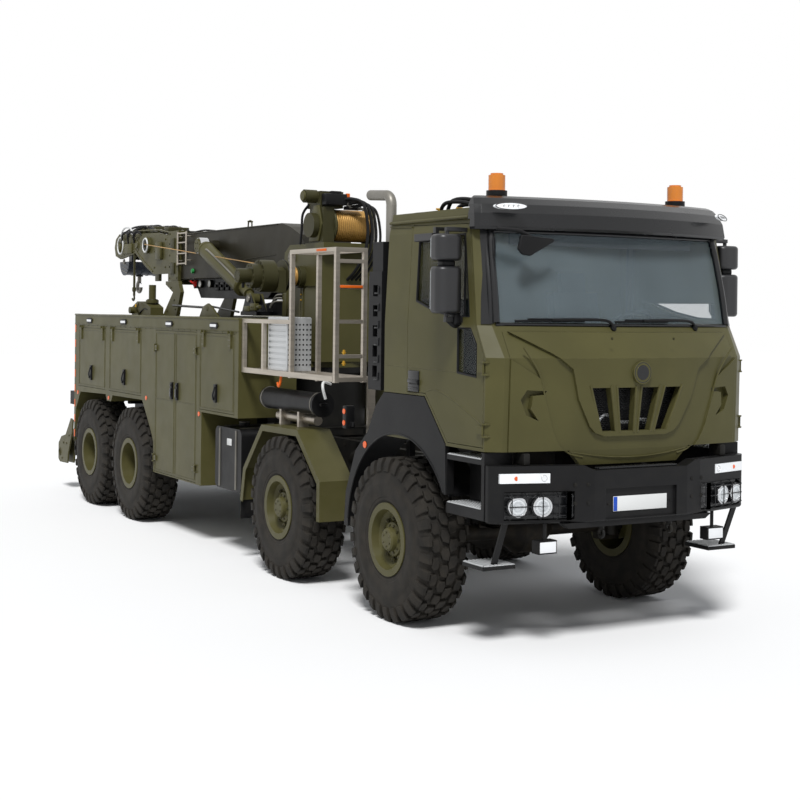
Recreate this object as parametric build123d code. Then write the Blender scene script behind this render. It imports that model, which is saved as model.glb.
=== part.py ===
from build123d import *
from math import cos, hypot, radians, sin
import os

# Heavy recovery truck: 8x8 cab-over chassis, slewing telescopic crane, side lockers and underlift.
# Millimetres. x runs to the vehicle's left, y to the rear and z up. Pieces are modelled with
# y = 0 at the first axle and z = 0 at the ground, then moved so that the origin lies on the
# ground under the middle of the overall length. Pieces of a pair are modelled on the left, at
# positive x, and mirrored.

# Overall
FRONT_OVERHANG = 1600
REAR_OVERHANG = 1912
HEAD_END_Y = 10100
OVERALL_LENGTH = FRONT_OVERHANG + HEAD_END_Y
ORIGIN_SHIFT = FRONT_OVERHANG - OVERALL_LENGTH / 2
SEAT = 0.3            # gap left between pieces that rest on each other
RUNNING_GAP = 5       # gap left beside a moving piece

# Wheels and axles
AXLE_SPACINGS = (2107, 4254, 1527)
AXLE_Y = [sum(AXLE_SPACINGS[:count]) for count in range(4)]
TYRE_RADIUS = 671.5
TYRE_HALF_WIDTH = 215
LUGS = 24
LUG_LENGTH = 92
LUG_RADIUS = 671.2    # the flat tops of the lugs; their corners reach the ground at TYRE_RADIUS
WHEEL_X = 1145
RIM_RADIUS = 262
RIM_FLANGE_RADIUS = 300
SPINDLE_RADIUS = 61
SPINDLE_END_X = 1180
HUB_RADIUS = 150
HUB_INNER_X = 1040
KINGPIN_X = 950
KINGPIN_RADIUS = 25
KNUCKLE_RADIUS = 78
KNUCKLE_HALF_HEIGHT = 100
AXLE_TUBE_RADIUS = 70
DIFFERENTIAL_RADIUS = 200

# Chassis
RAIL_X = (355, 430)
RAIL_Z = (950, 1250)
RAIL_WALL = 8
RAIL_FRONT_Y = -1489
SPRING_X = (412, 488)
SPRING_HALF_LENGTH = 600
SPRING_THICKNESS = 80

# Cab
CAB_REAR_Y = 240
CAB_WALL = 60
CAB_BOTTOM_Z = 1500
CAB_UNDERSIDE_Z = 1560
CAB_ROOF_Z = 3340
CAB_SIDE_X = 1250
COWL_Z = 2395
FIREWALL_Y = -1190
PANEL_THICKNESS = 45
PANEL_HALF_WIDTH = 1097
PANEL_BOTTOM_Z = 1385
RIDGE_HEIGHT = 28
CHEEK_HEIGHT = 14
DOOR_HINGE = (1264, -1296)
DOOR_HINGE_Z = (1660, 2120)

# Front fender over the first axle
FENDER_ARCH_RADIUS = 860
FENDER_LINER = 12
FENDER_X = (930, 1252)
FENDER_TOP_Z = 1860
STEP_Z = (1065, 1437)

# Rear body
LOCKER_X = (650, 1300)
LOCKER_FRONT_Y = 3190
LOCKER_TALL_Y = 4170
LOCKER_REAR_Y = 8720
RAIL_REAR_Y = LOCKER_REAR_Y + 60
LOCKER_TOP_Z = 2440
LOCKER_WALL = 30
DOOR_THICKNESS = 25
DECK_Z = (2380, 2420)

# Crane
SLEW_Y = 3750
COLUMN_HALF_WIDTH = 350
COLUMN_Y = (3300, 4200)
COLUMN_BASE_Z = 1930
COLUMN_TOP_Z = 2860
SLEW_RING_RADIUS = 440
COVER_Y = (3370, 3780)
BOOM_PIVOT = (3950, 3100)
BOOM_HALF_WIDTH = 290
BOOM_TOP_Z = 3500
BOOM_PANEL_Z = 2910
BOOM_KEEL_Z = 2650
BOOM_END_Y = 7750
BOOM_COLLAR_Z = (2890, 3545)
BOOM_WALL = 20
PIVOT_RADIUS = 55
EXTENSION_HALF_WIDTH = 225
EXTENSION_Z = (2990, 3440)
CYLINDER_X = 480
CYLINDER_BASE = (4660, 2650)
CYLINDER_TOP = (6250, 3300)
BARREL_RADIUS = 100
CYLINDER_ROD_RADIUS = 60
CYLINDER_EYE_RADIUS = 100
SIDE_WINCH = (3720, 2890)
HOOK_PIVOT = (9880, 3400)
HOOK_PIN_RADIUS = 30
HEAD_PULLEY = (8660, 3390)

# Underlift
UNDERLIFT_MAST_Y = 8800
CARRIAGE_Z = (470, 1150)
ARM_HALF_WIDTH = 80
ARM_Z = (550, 710)
CROSSBAR_REAR_Y = AXLE_Y[-1] + REAR_OVERHANG
TOWING_EYE = (CROSSBAR_REAR_Y - 75, 500)
TOWING_EYE_RADIUS = 35
TOWING_EYE_X = (1080, 1190)


def block(x0, x1, y0, y1, z0, z1):
    """A rectangular block between its two limits on each axis."""
    centre = Pos((x0 + x1) / 2, (y0 + y1) / 2, (z0 + z1) / 2)
    return centre * Box(abs(x1 - x0), abs(y1 - y0), abs(z1 - z0))


def side_plate(points, x0, x1):
    """A plate whose outline is drawn in side view, as (y, z), between two values of x."""
    return extrude(Plane.YZ.offset(x0) * make_face(Polyline(*points, close=True)), x1 - x0)


def front_plate(points, y0, y1):
    """A plate whose outline is drawn in front view, as (x, z), between two values of y."""
    return extrude(Plane.XZ.offset(-y0) * make_face(Polyline(*points, close=True)), y0 - y1)


def plan_plate(points, z0, z1):
    """A plate whose outline is drawn in plan, as (x, y), between two heights."""
    return extrude(Plane.XY.offset(z0) * make_face(Polyline(*points, close=True)), z1 - z0)


def mirrored(points):
    """The points of a half outline at positive x, followed by their mirror images."""
    return list(points) + [(-x, other) for x, other in reversed(points)]


def flipped(points):
    """The mirror image of a whole outline drawn in front view."""
    return [(-x, other) for x, other in reversed(points)]


def rod_x(x0, x1, y, z, radius):
    """A round bar along x."""
    return Pos((x0 + x1) / 2, y, z) * Rot(0, 90, 0) * Cylinder(radius, abs(x1 - x0))


def rod_y(x, y0, y1, z, radius):
    """A round bar along y."""
    return Pos(x, (y0 + y1) / 2, z) * Rot(90, 0, 0) * Cylinder(radius, abs(y1 - y0))


def rod_z(x, y, z0, z1, radius):
    """A round bar along z."""
    return Pos(x, y, (z0 + z1) / 2) * Cylinder(radius, abs(z1 - z0))


def strut(start, end, width, height):
    """A rectangular bar between two points, its width level and its height upright."""
    start, end = Vector(*start), Vector(*end)
    run = end - start
    level = run.cross(Vector(0, 0, 1))
    section = Plane(origin=start, x_dir=level, z_dir=run) * Rectangle(width, height)
    return extrude(section, run.length)


def round_strut(start, end, radius):
    """A round bar between two points."""
    start, end = Vector(*start), Vector(*end)
    run = end - start
    return extrude(Plane(origin=start, z_dir=run) * Circle(radius), run.length)


def ring_along_x(points):
    """A turned piece whose half section is drawn as (x, radius)."""
    return revolve(Plane.XY * make_face(Polyline(*points, close=True)), Axis.X)


def twin(shape):
    """A piece of the left side and its mirror image."""
    return [shape, mirror(shape, about=Plane.YZ)]


# Wheels: modelled about the origin with the outer face toward positive x

def tyre():
    """An off-road tyre, closed across its bead seat, with staggered shoulder lugs."""
    half = [
        (190, RIM_RADIUS), (191, RIM_FLANGE_RADIUS + 1), (206, 345), (TYRE_HALF_WIDTH, 440), (207, 535), (186, 610),
        (150, 642),
    ]
    #       x and radius of a lug's section, from the middle of the tread over the shoulder
    lug_section = [(14, 630), (14, LUG_RADIUS), (150, LUG_RADIUS), (190, 638), (213, 560), (196, 545), (178, 595), (140, 625)]
    lug = extrude(Plane.XY * make_face(Polyline(*lug_section, close=True)), LUG_LENGTH / 2, both=True)
    other = mirror(lug, about=Plane.YZ)
    pitch = 360 / LUGS
    lugs = [Rot(index * pitch, 0, 0) * lug for index in range(LUGS)]
    lugs += [Rot((index + 0.5) * pitch, 0, 0) * other for index in range(LUGS)]
    return ring_along_x(mirrored(half)).fuse(*lugs)


def rim(deep_dish):
    """A wheel rim with its disc and hub; the spindle enters a blind bore from the inside."""
    disc_x = -70 if deep_dish else 112
    hub_x = 75 if deep_dish else 200
    inner_x = HUB_INNER_X - WHEEL_X
    bore_end = SPINDLE_END_X - WHEEL_X + RUNNING_GAP
    bore = SPINDLE_RADIUS
    seat = RIM_RADIUS - SEAT
    flange = RIM_FLANGE_RADIUS
    section = [
        (bore_end, 0), (bore_end, bore), (inner_x, bore), (inner_x, HUB_RADIUS), (disc_x - 22, HUB_RADIUS),
        (disc_x - 22, 236), (-205, 236), (-205, flange), (-193, flange), (-193, seat), (193, seat),
        (193, flange), (205, flange), (205, 246), (disc_x + 30, 230), (disc_x, 195), (disc_x, HUB_RADIUS),
        (disc_x + 30, 138), (disc_x + 40, 100), (hub_x - 12, 92), (hub_x, 80), (hub_x, 0),
    ]
    return ring_along_x(section)


def knuckle(y):
    """A steering knuckle: kingpin housing, spindle and steering arm."""
    z = TYRE_RADIUS
    body = rod_z(KINGPIN_X, y, z - KNUCKLE_HALF_HEIGHT, z + KNUCKLE_HALF_HEIGHT, KNUCKLE_RADIUS)
    body += rod_x(KINGPIN_X, SPINDLE_END_X, y, z, SPINDLE_RADIUS - SEAT)
    body += rod_x(KINGPIN_X, HUB_INNER_X - 8, y, z, 74)
    body += block(KINGPIN_X - 35, KINGPIN_X + 20, y, y + 215, z - 95, z - 62)
    body -= rod_z(KINGPIN_X, y, z - 200, z + 200, KINGPIN_RADIUS + SEAT)
    return body


def axle(y, steered):
    """A driven axle: differential casing, tubes, and yokes or fixed spindles at its ends."""
    z = TYRE_RADIUS
    tube = AXLE_TUBE_RADIUS
    end_x = KINGPIN_X - 105 if steered else HUB_INNER_X - 8
    half = [(end_x, 0), (end_x, tube), (260, tube), (95, DIFFERENTIAL_RADIUS)]
    body = Pos(0, y, z) * ring_along_x(mirrored(half))
    if not steered:
        spindle = SPINDLE_RADIUS - SEAT
        return body + rod_x(-SPINDLE_END_X, SPINDLE_END_X, y, z, spindle)
    ear = KNUCKLE_HALF_HEIGHT + 3
    for side in (1, -1):
        web_x = side * (KINGPIN_X - 150), side * (KINGPIN_X - 95)
        body += block(*web_x, y - 60, y + 60, z - ear - 35, z + ear + 35)
        for low, high in ((z + ear, z + ear + 35), (z - ear - 35, z - ear)):
            body += block(web_x[0], side * (KINGPIN_X + 50), y - 55, y + 55, low, high)
        body += rod_z(side * KINGPIN_X, y, z - ear - 30, z + ear + 30, KINGPIN_RADIUS)
    return body


def leaf_spring(y):
    """A leaf spring pack, bowed down to its axle, with its two hangers."""
    low = TYRE_RADIUS + AXLE_TUBE_RADIUS + SEAT
    high = RAIL_Z[0] - 40
    length, thick = SPRING_HALF_LENGTH, SPRING_THICKNESS
    outline = [
        (y - length, high - 25), (y - 330, low + 45), (y - 110, low), (y + 110, low), (y + 330, low + 45),
        (y + length, high - 25), (y + length, high), (y + 330, low + thick + 20), (y + 110, low + thick),
        (y - 110, low + thick), (y - 330, low + thick + 20), (y - length, high),
    ]
    spring = side_plate(outline, *SPRING_X)
    for end in (y - length, y + length):
        spring += block(RAIL_X[1] - 15, SPRING_X[1] + 8, end - 35, end + 35, high - 45, RAIL_Z[0] + 30)
    return spring


# Chassis

CROSS_MEMBER_Y = (-1150, 1000, 2350, 3150, 5200, 7125, 8700)
CAB_MOUNT_Y = (-1000, 150)
LOCKER_BRACKET_Y = (4600, 5500, 6900, 8400)
TANK_GAP = 280
TANK_Y = (LOCKER_TALL_Y - TANK_GAP - 685, LOCKER_TALL_Y - TANK_GAP)
TANK_X = (560, 1250)
TANK_Z = (670, 1310)


def chassis_frame():
    """Ladder frame of two channel rails, with springs, brackets and the crane's pedestal."""
    (x0, x1), (z0, z1), wall = RAIL_X, RAIL_Z, RAIL_WALL
    channel = [
        (x0, z0), (x1, z0), (x1, z1), (x0, z1), (x0, z1 - wall), (x1 - wall, z1 - wall), (x1 - wall, z0 + wall),
        (x0, z0 + wall),
    ]
    side = front_plate(channel, RAIL_FRONT_Y, RAIL_REAR_Y)
    for y in AXLE_Y:
        side += leaf_spring(y)
    for y in CAB_MOUNT_Y:
        side += block(x0, x1, y - 60, y + 60, z1 - wall, CAB_UNDERSIDE_Z - SEAT)
    for y in LOCKER_BRACKET_Y:
        side += block(x0, LOCKER_X[0] - SEAT, y - 45, y + 45, z1 - wall, z1 + 70)
    for y in (TANK_Y[0] + 120, TANK_Y[1] - 120):
        side += block(x1 - wall, TANK_X[0] - SEAT, y - 40, y + 40, z0, z0 + 110)
    side += block(ENGINE_X + SEAT, x1, ENGINE_Y[0] + 400, ENGINE_Y[0] + 500, z0, z0 + 90)
    side += block(TRANSFER_X + SEAT, x1, TRANSFER_Y[0] + 200, TRANSFER_Y[0] + 320, z0, z0 + 90)
    arm_z = second_fender_top(AXLE_Y[1] + 30) - SECOND_FENDER_SHEET - SEAT
    side += block(x0, x1, AXLE_Y[1] - 30, AXLE_Y[1] + 30, z1 - wall, arm_z)
    side += block(x0, SECOND_FENDER_X[1] - 20, AXLE_Y[1] - 25, AXLE_Y[1] + 25, arm_z - 25, arm_z)
    frame = side + mirror(side, about=Plane.YZ)
    for y in CROSS_MEMBER_Y:
        frame += block(-x1 + 4, x1 - 4, y - 40, y + 40, z0 + 50, z1 - 50)
    frame += block(-x1 + 4, x1 - 4, SLEW_Y - 430, SLEW_Y + 430, z1 - 40, z1 + 40)
    frame += rod_z(0, SLEW_Y, z1, COLUMN_BASE_Z - SEAT, SLEW_RING_RADIUS - 40)
    frame += rod_z(0, SLEW_Y, COLUMN_BASE_Z - 60, COLUMN_BASE_Z - SEAT, SLEW_RING_RADIUS)
    return frame + underlift_guides()


def underlift_guides():
    """Upright guides on the last cross member, which hold the underlift's carriage."""
    x0, x1 = 180, 240
    guide = block(x0, x1, RAIL_REAR_Y - 60, UNDERLIFT_MAST_Y + 90, 420, RAIL_Z[1])
    guides = guide + mirror(guide, about=Plane.YZ)
    return guides + block(-x1, x1, RAIL_REAR_Y - 60, RAIL_REAR_Y, 420, RAIL_Z[1])


ENGINE_X = 330
ENGINE_Y = (-950, 900)
ENGINE_Z = (930, 1540)
TRANSFER_X = 260
TRANSFER_Y = (2500, 3050)


def driveline():
    """The four axles, the engine and gearbox as one block, and the transfer case."""
    pieces = [axle(y, steered=index < 2) for index, y in enumerate(AXLE_Y)]
    pieces.append(block(-ENGINE_X, ENGINE_X, *ENGINE_Y, *ENGINE_Z))
    pieces.append(block(-TRANSFER_X, TRANSFER_X, *TRANSFER_Y, 780, 1180))
    return pieces


# Cab: every level is given by the x and y of the side's front end, of the corner and of the middle
#        z    side x, side y, corner x, corner y, middle y
CAB_LEVELS = (
    (1385, 1250, -1292, 1140, -1365, -1455),
    (1500, 1250, -1300, 1140, -1378, -1480),
    (2200, 1250, -1310, 1140, -1395, -1560),
    (2440, 1250, -1180, 1162, -1250, -1400),
    (3170, 1215, -1040, 1120, -1100, -1215),
    (3340, 1180, -985, 1085, -1040, -1150),
)
#           z    side x, side y, corner x, corner y, middle y
CABIN_LEVELS = (
    (1620, 1190, -1150, 1130, -1182, -1190),
    (2405, 1190, -1150, 1130, -1182, -1190),
    (2470, 1190, -1125, 1112, -1182, -1325),
    (3170, 1155, -1000, 1068, -1042, -1150),
    (3280, 1125, -950, 1035, -985, -1085),
)


def cab_loft(levels, rear_y, inset=0):
    """A solid through plan outlines: straight rear and sides, angled corners and a curved front."""
    faces = []
    for z, side_x, side_y, corner_x, corner_y, middle_y in levels:
        side_x -= inset
        side_y += inset / 2
        corner_x -= inset * 0.7
        corner_y += inset * 0.9
        middle_y += inset
        straight = [
            (corner_x, corner_y), (side_x, side_y), (side_x, rear_y), (-side_x, rear_y), (-side_x, side_y),
            (-corner_x, corner_y),
        ]
        front = ThreePointArc((-corner_x, corner_y), (0, middle_y), (corner_x, corner_y))
        faces.append(Pos(0, 0, z) * make_face([*Polyline(*straight).edges(), front]))
    return loft(faces, ruled=True)


def scaled_levels(levels, growth):
    """The same levels with only their outlines grown."""
    return [(z, sx + growth, sy - growth / 2, cx + growth * 0.7, cy - growth * 0.9, my - growth)
            for z, sx, sy, cx, cy, my in levels]


WINDSCREEN = ((1120, 2462), (1080, 3155))
DOOR_OUTLINE = (
    (-140, 1885), (-435, 1885), (-778, 1525), (-1284, 1525), (-1284, 2210), (-1160, 2445), (-1042, 3090),
    (-1025, 3215), (-140, 3235),
)
SIDE_WINDOW = ((-256, 2620), (-256, 3140), (-960, 3140), (-1075, 2500), (-800, 2500), (-520, 2545))
QUARTER_WINDOW = ((-905, 2070), (-905, 2420), (-1095, 2420), (-1185, 2300), (-1185, 2045))
#                 y, z of the fender's outer edge, from its rear foot over the top to its front foot
FENDER_EDGE = (
    (933, 660), (905, 960), (735, 1330), (520, 1508), (380, 1740), (240, 1860), (-420, 1860), (-750, 1507),
    (-765, 1120),
)


def fender_profile(growth=0):
    """The fender's side outline, from its outer edge to the wheel arch."""
    radius = FENDER_ARCH_RADIUS - growth
    (rear_y, rear_z), (front_y, front_z) = FENDER_EDGE[0], FENDER_EDGE[-1]
    edge = [(rear_y + growth, rear_z)]
    edge += [(y + growth * (1 if y > 0 else -1), z + growth) for y, z in FENDER_EDGE[1:-1]]
    edge += [(front_y - growth, front_z)]
    front_foot = (-(radius ** 2 - (front_z - TYRE_RADIUS) ** 2) ** 0.5, front_z)
    rear_foot = ((radius ** 2 - (rear_z - TYRE_RADIUS) ** 2) ** 0.5, rear_z)
    outline = Polyline(front_foot, *reversed(edge), rear_foot)
    arch = ThreePointArc(rear_foot, (0, TYRE_RADIUS + radius), front_foot)
    return make_face([*outline.edges(), arch])


def cab_side(z):
    """The half width of the cab's side at a height."""
    for (z0, x0, *_), (z1, x1, *_) in zip(CAB_LEVELS, CAB_LEVELS[1:]):
        if z0 <= z <= z1:
            return x0 + (x1 - x0) * (z - z0) / (z1 - z0)


def cab_body():
    """The cab's closed outer volume."""
    return cab_loft(CAB_LEVELS, CAB_REAR_Y)


def cab_shell():
    """The hollow cab with its door openings, windscreen opening and front bay."""
    shell = cab_loft(CAB_LEVELS[1:], CAB_REAR_Y)
    shell -= cab_loft(CABIN_LEVELS, CAB_REAR_Y - CAB_WALL)
    inside = CAB_SIDE_X - CAB_WALL
    shell -= block(-inside, inside, -1245, CAB_REAR_Y + 1, CAB_BOTTOM_Z - 1, CAB_UNDERSIDE_Z)
    shell -= block(-PANEL_HALF_WIDTH - 3, PANEL_HALF_WIDTH + 3, -1700, FIREWALL_Y - 45, 1300, COWL_Z)
    shell -= front_plate(mirrored(WINDSCREEN), -1700, -1000)
    recess_x = FENDER_X[1] - 42
    for side in (1, -1):
        inner, outer = side * (inside - 8), side * (CAB_SIDE_X + 30)
        shell -= side_plate(DOOR_OUTLINE, inner, outer)
        shell -= extrude(Plane.YZ.offset(side * recess_x) * fender_profile(6), side * 100)
    return shell + cab_door_ears()


def cab_door_ears():
    """Pairs of ears on the front corners, which hold the doors' hinge barrels."""
    x, y = DOOR_HINGE
    ears = []
    for z in DOOR_HINGE_Z:
        for low in (z - 52, z + 40):
            outline = [
                (x - 70, y - 34), (x - 14, y - 34), (x + 12, y - 12), (x + 12, y + 12), (x - 8, y + 12), (x - 8, y - 8),
                (x - 70, y - 8),
            ]
            ears += twin(plan_plate(outline, low, low + 12))
    return ears


def cab_door():
    """The left door: the side wall's full thickness, two windows and two hinge barrels."""
    x, y = DOOR_HINGE
    gap = RUNNING_GAP
    wall = cab_body() - cab_loft(CABIN_LEVELS, CAB_REAR_Y - CAB_WALL)
    outline = offset(make_face(Polyline(*DOOR_OUTLINE, close=True)), -gap)
    inside = CAB_SIDE_X - CAB_WALL - 8
    door = wall & extrude(Plane.YZ.offset(inside) * outline, 100)
    for window in (SIDE_WINDOW, QUARTER_WINDOW):
        door -= side_plate(window, inside - 10, CAB_SIDE_X + 30)
    for z in DOOR_HINGE_Z:
        door += rod_z(x, y, z - 40 + SEAT, z + 40 - SEAT, 9)
        door += block(x - 12, x + 7, y, y + 70, z - 30, z + 30)
        door += block(CAB_SIDE_X - 5, x, y + 19, y + 70, z - 30, z + 30)
    door += block(CAB_SIDE_X - 2, CAB_SIDE_X + 22, -345, -215, 1950, 1990)
    return door


#      x, z of the raised shield around the grille, of a raised cheek and of the air slot in it
SHIELD = ((1060, 2394), (771, 2235), (610, 2119), (546, 1886), (434, 1681), (380, 1630), (295, 1603))
CHEEK = (
    (1097, 2190), (984, 2119), (866, 2050), (800, 1840), (742, 1660), (680, 1540), (640, 1502), (1097, 1502),
)
CHEEK_RECESS = (
    (968, 1962), (797, 1953), (821, 1927), (919, 1918), (931, 1818), (864, 1730), (969, 1776), (1015, 1891),
)


def front_panel():
    """The lift-up front panel: its raised shield, tapered grille openings and badge disc."""
    skin = cab_body() - cab_loft(CAB_LEVELS, CAB_REAR_Y, PANEL_THICKNESS)
    half_width, low, high = PANEL_HALF_WIDTH, PANEL_BOTTOM_Z, COWL_Z - SEAT
    outline = mirrored([(half_width, high), (half_width, CAB_BOTTOM_Z), (580, CAB_BOTTOM_Z), (470, low)])
    panel = skin & front_plate(outline, -1700, -1250)
    under = cab_loft(CAB_LEVELS, CAB_REAR_Y, 10)
    for growth, outline in ((RIDGE_HEIGHT, mirrored(SHIELD)), (CHEEK_HEIGHT, CHEEK), (CHEEK_HEIGHT, flipped(CHEEK))):
        raised = cab_loft(scaled_levels(CAB_LEVELS, growth), CAB_REAR_Y) - under
        panel += raised & front_plate(outline, -1700, -1250)
    floor = cab_loft(CAB_LEVELS, CAB_REAR_Y, PANEL_THICKNESS - 14)
    for outline in (CHEEK_RECESS, flipped(CHEEK_RECESS)):
        panel -= front_plate(outline, -1700, -1250) - floor
    for index in range(4):
        left = -455 + index * 235
        top = [(left, 1975), (left + 185, 1975)]
        bottom = [(x * 0.7, 1640) for x, _ in reversed(top)]
        panel -= front_plate(top + bottom, -1700, -1250)
    return panel + rod_y(0, 2 - FRONT_OVERHANG, -1530, 2090, 88)


def windscreen():
    """The curved windscreen, let into its opening."""
    sheet = cab_loft(CAB_LEVELS, CAB_REAR_Y, 6) - cab_loft(CAB_LEVELS, CAB_REAR_Y, 14)
    low, high = WINDSCREEN
    outline = mirrored([(low[0] - SEAT, low[1] + SEAT), (high[0] - SEAT, high[1] - SEAT)])
    return sheet & front_plate(outline, -1700, -1000)


#              z    side x, side y, corner x, corner y, middle y
VISOR_LEVELS = (
    (3165, 1234, -1108, 1202, -1148, -1372),
    (3185, 1240, -1114, 1208, -1154, -1392),
    (3290, 1232, -1098, 1196, -1140, -1380),
    (3360, 1216, -1066, 1176, -1104, -1318),
    (3410, 1194, -1022, 1146, -1056, -1236),
    (3430, 1170, -985, 1120, -1016, -1180),
)


VISOR_SIDE_END = (-1045, 3245)    # y and height up to which the visor's side leaves the door's swing free


def sun_visor():
    """The moulded visor over the windscreen, closed against the cab's roof and corners."""
    visor = cab_loft(VISOR_LEVELS, -700)
    visor -= cab_loft(scaled_levels(CAB_LEVELS, SEAT), CAB_REAR_Y)
    visor -= block(-1300, 1300, -1012, -600, 3100, CAB_ROOF_Z + SEAT)
    visor -= block(-1300, 1300, VISOR_SIDE_END[0], -600, 3100, VISOR_SIDE_END[1])
    underside = [(level[0] - 1, level[1] - 40, level[2] + 20, level[3] - 40, level[4] + 30, level[5] + 30)
                 for level in VISOR_LEVELS[:2]]
    visor -= cab_loft(underside, -900) & front_plate(mirrored([(1075, 3100), (1075, 3230)]), -1700, -1000)
    return visor - block(-1300, 1300, -990, -600, 3100, 3500)


def cab_interior():
    """Dashboard, steering wheel and column, and two seats."""
    floor = CABIN_LEVELS[0][0] + SEAT
    outline = [(-1250, 1980), (-1250, 2395), (-1080, 2420), (-850, 2330), (-800, 2200), (-900, 1980)]
    dash = side_plate(outline, -1120, 1120) & cab_loft(CABIN_LEVELS, CAB_REAR_Y - CAB_WALL, SEAT)
    wheel = Plane(origin=(560, -690, 2420), z_dir=(0, 0.62, 0.78)) * Torus(215, 16)
    hub = Plane(origin=(560, -690, 2420), z_dir=(0, 0.62, 0.78)) * Cylinder(60, 30)
    column = round_strut((560, -690, 2420), (560, -880, 2180), 32)
    spoke = strut((560 - 215, -690, 2420), (560 + 215, -690, 2420), 26, 14)
    pieces = [dash + column + hub + spoke + wheel]
    for x in (560, -560):
        seat = block(x - 250, x + 250, -520, -20, 1880, 2010)
        back = side_plate([(-90, 1960), (20, 1960), (140, 2720), (40, 2720)], x - 240, x + 240)
        head = side_plate([(60, 2720), (125, 2720), (150, 2900), (90, 2900)], x - 130, x + 130)
        pieces.append(seat + back + head + block(x - 160, x + 160, -420, -80, floor, 1880))
    return pieces


# Front end

BUMPER_SLOPE = (1180, -1420, 600, -1578)
LAMP_DEPTH = 48


def bumper_face(x, depth):
    """The y of the bumper's angled face at x, moved back by a depth."""
    x0, y0, x1, y1 = BUMPER_SLOPE
    return y0 + (x - x0) * (y1 - y0) / (x1 - x0) + depth


def angled_block(x0, x1, front, back, z0, z1):
    """A block between two depths behind the bumper's angled face."""
    points = [
        (x0, bumper_face(x0, front)), (x1, bumper_face(x1, front)), (x1, bumper_face(x1, back)),
        (x0, bumper_face(x0, back)),
    ]
    return plan_plate(points, z0, z1)


BUMPER_Z = (970, 1400)
HEADLAMP_X = (865, 1050)
HEADLAMP_Z = 1102


def bumper():
    """The moulded bumper with recesses for lamps and plate, and its hanging steps."""
    x0, y0, x1, y1 = BUMPER_SLOPE
    outer = [(1240, -1306), (1240, -1354), (x0, y0), (x1, y1), (450, -FRONT_OVERHANG)]
    inner = [(430, -1490), (640, -1462), (1100, -1330), (1130, -1306)]
    body = plan_plate(mirrored(outer), *BUMPER_Z)
    corners = [edge for edge in body.edges().filter_by(Axis.Z) if abs(edge.center().X) > 1150]
    body = fillet([edge for edge in corners if edge.center().Y < -1340], 45)
    body = fillet(body.faces().sort_by(Axis.Z)[0].edges().filter_by(lambda edge: edge.center().Y < -1345), 25)
    body -= plan_plate(mirrored(list(reversed(inner))), BUMPER_Z[0] - 1, BUMPER_Z[1] + 1)
    body -= front_plate(mirrored([(540, 1401), (440, 1358)]), -1700, -1400)
    body += front_plate(mirrored([(720, 971), (660, 930)]), -1575, -1500)
    body -= block(-345, 345, -1700, -1575, 985, 1215)
    for side in (1, -1):
        lamps = angled_block(615, 1150, -60, LAMP_DEPTH, 1000, 1210) + angled_block(800, 1190, -60, 20, 1268, 1352)
        body -= lamps if side > 0 else mirror(lamps, about=Plane.YZ)
    for side in (1, -1):
        body += strut((side * 1120, -1400, 985), (side * 1120, -1250, 640), 50, 16)
        body += block(side * 950, side * 1240, -1290, -1000, 612, 640)
    return body


def front_fender():
    """The left fender over the first wheel, with the two recessed steps ahead of it."""
    x0, x1 = FENDER_X
    skirt = extrude(Plane.YZ.offset(x1 - 42 + SEAT) * fender_profile(), 42 - SEAT)
    outer, inner = FENDER_ARCH_RADIUS + FENDER_LINER, FENDER_ARCH_RADIUS
    liner = rod_x(x0, x1 - 40, 0, TYRE_RADIUS, outer) - rod_x(x0 - 1, x1, 0, TYRE_RADIUS, inner)
    liner &= block(x0 - 1, x1, -745, 930, 660, CAB_UNDERSIDE_Z)
    wall_x = CAB_SIDE_X - CAB_WALL - SEAT
    liner -= block(wall_x, x1, -800, CAB_REAR_Y + SEAT, CAB_BOTTOM_Z - SEAT, CAB_UNDERSIDE_Z)
    back, front = -765, -1300
    steps = block(1000, 1245, front, back, STEP_Z[0] - 80, STEP_Z[0])
    steps += block(1000, 1245, front, back, STEP_Z[1] - 38, STEP_Z[1])
    steps += block(1000, 1030, front, back, STEP_Z[0] - 10, STEP_Z[1])
    steps += block(1000, 1245, front, front + 40, STEP_Z[0] - 10, STEP_Z[1] + 55)
    steps += block(1180, 1245, back - 4, back + 25, 1122, STEP_Z[1])
    return skirt + liner + steps


SECOND_FENDER_X = (960, 1300)
SECOND_FENDER_SHEET = 8
SECOND_FENDER_FLANGE = 60
#                 y, z of the folded sheet's outer face, from its rear foot to its front foot
SECOND_FENDER = ((3110, 620), (3040, 950), (2610, 1414), (1805, 1423), (1325, 994), (1325, 630))


def inset_path(points, depth):
    """The corners of a path moved by a depth toward its right-hand side, with mitred corners."""
    normals = []
    for (y0, z0), (y1, z1) in zip(points, points[1:]):
        length = hypot(y1 - y0, z1 - z0)
        normals.append(((z1 - z0) / length, (y0 - y1) / length))
    moved = []
    for index, (y, z) in enumerate(points):
        ny0, nz0 = normals[max(index - 1, 0)]
        ny1, nz1 = normals[min(index, len(normals) - 1)]
        share = depth / (1 + ny0 * ny1 + nz0 * nz1)
        moved.append((y + (ny0 + ny1) * share, z + (nz0 + nz1) * share))
    return moved


def second_fender():
    """The folded sheet-steel fender over the second wheel, with a narrow side flange."""
    x0, x1 = SECOND_FENDER_X
    path = list(SECOND_FENDER)
    sheet = side_plate(path + inset_path(path, -SECOND_FENDER_SHEET)[::-1], x0, x1)
    return sheet + side_plate(path + inset_path(path, -SECOND_FENDER_FLANGE)[::-1], x1 - SECOND_FENDER_SHEET, x1)


# Pieces between the cab and the lockers

def second_fender_top(y):
    """The height of the second fender's flat top at y."""
    (y0, z0), (y1, z1) = SECOND_FENDER[3], SECOND_FENDER[2]
    return z0 + (y - y0) * (z1 - z0) / (y1 - y0)


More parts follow.
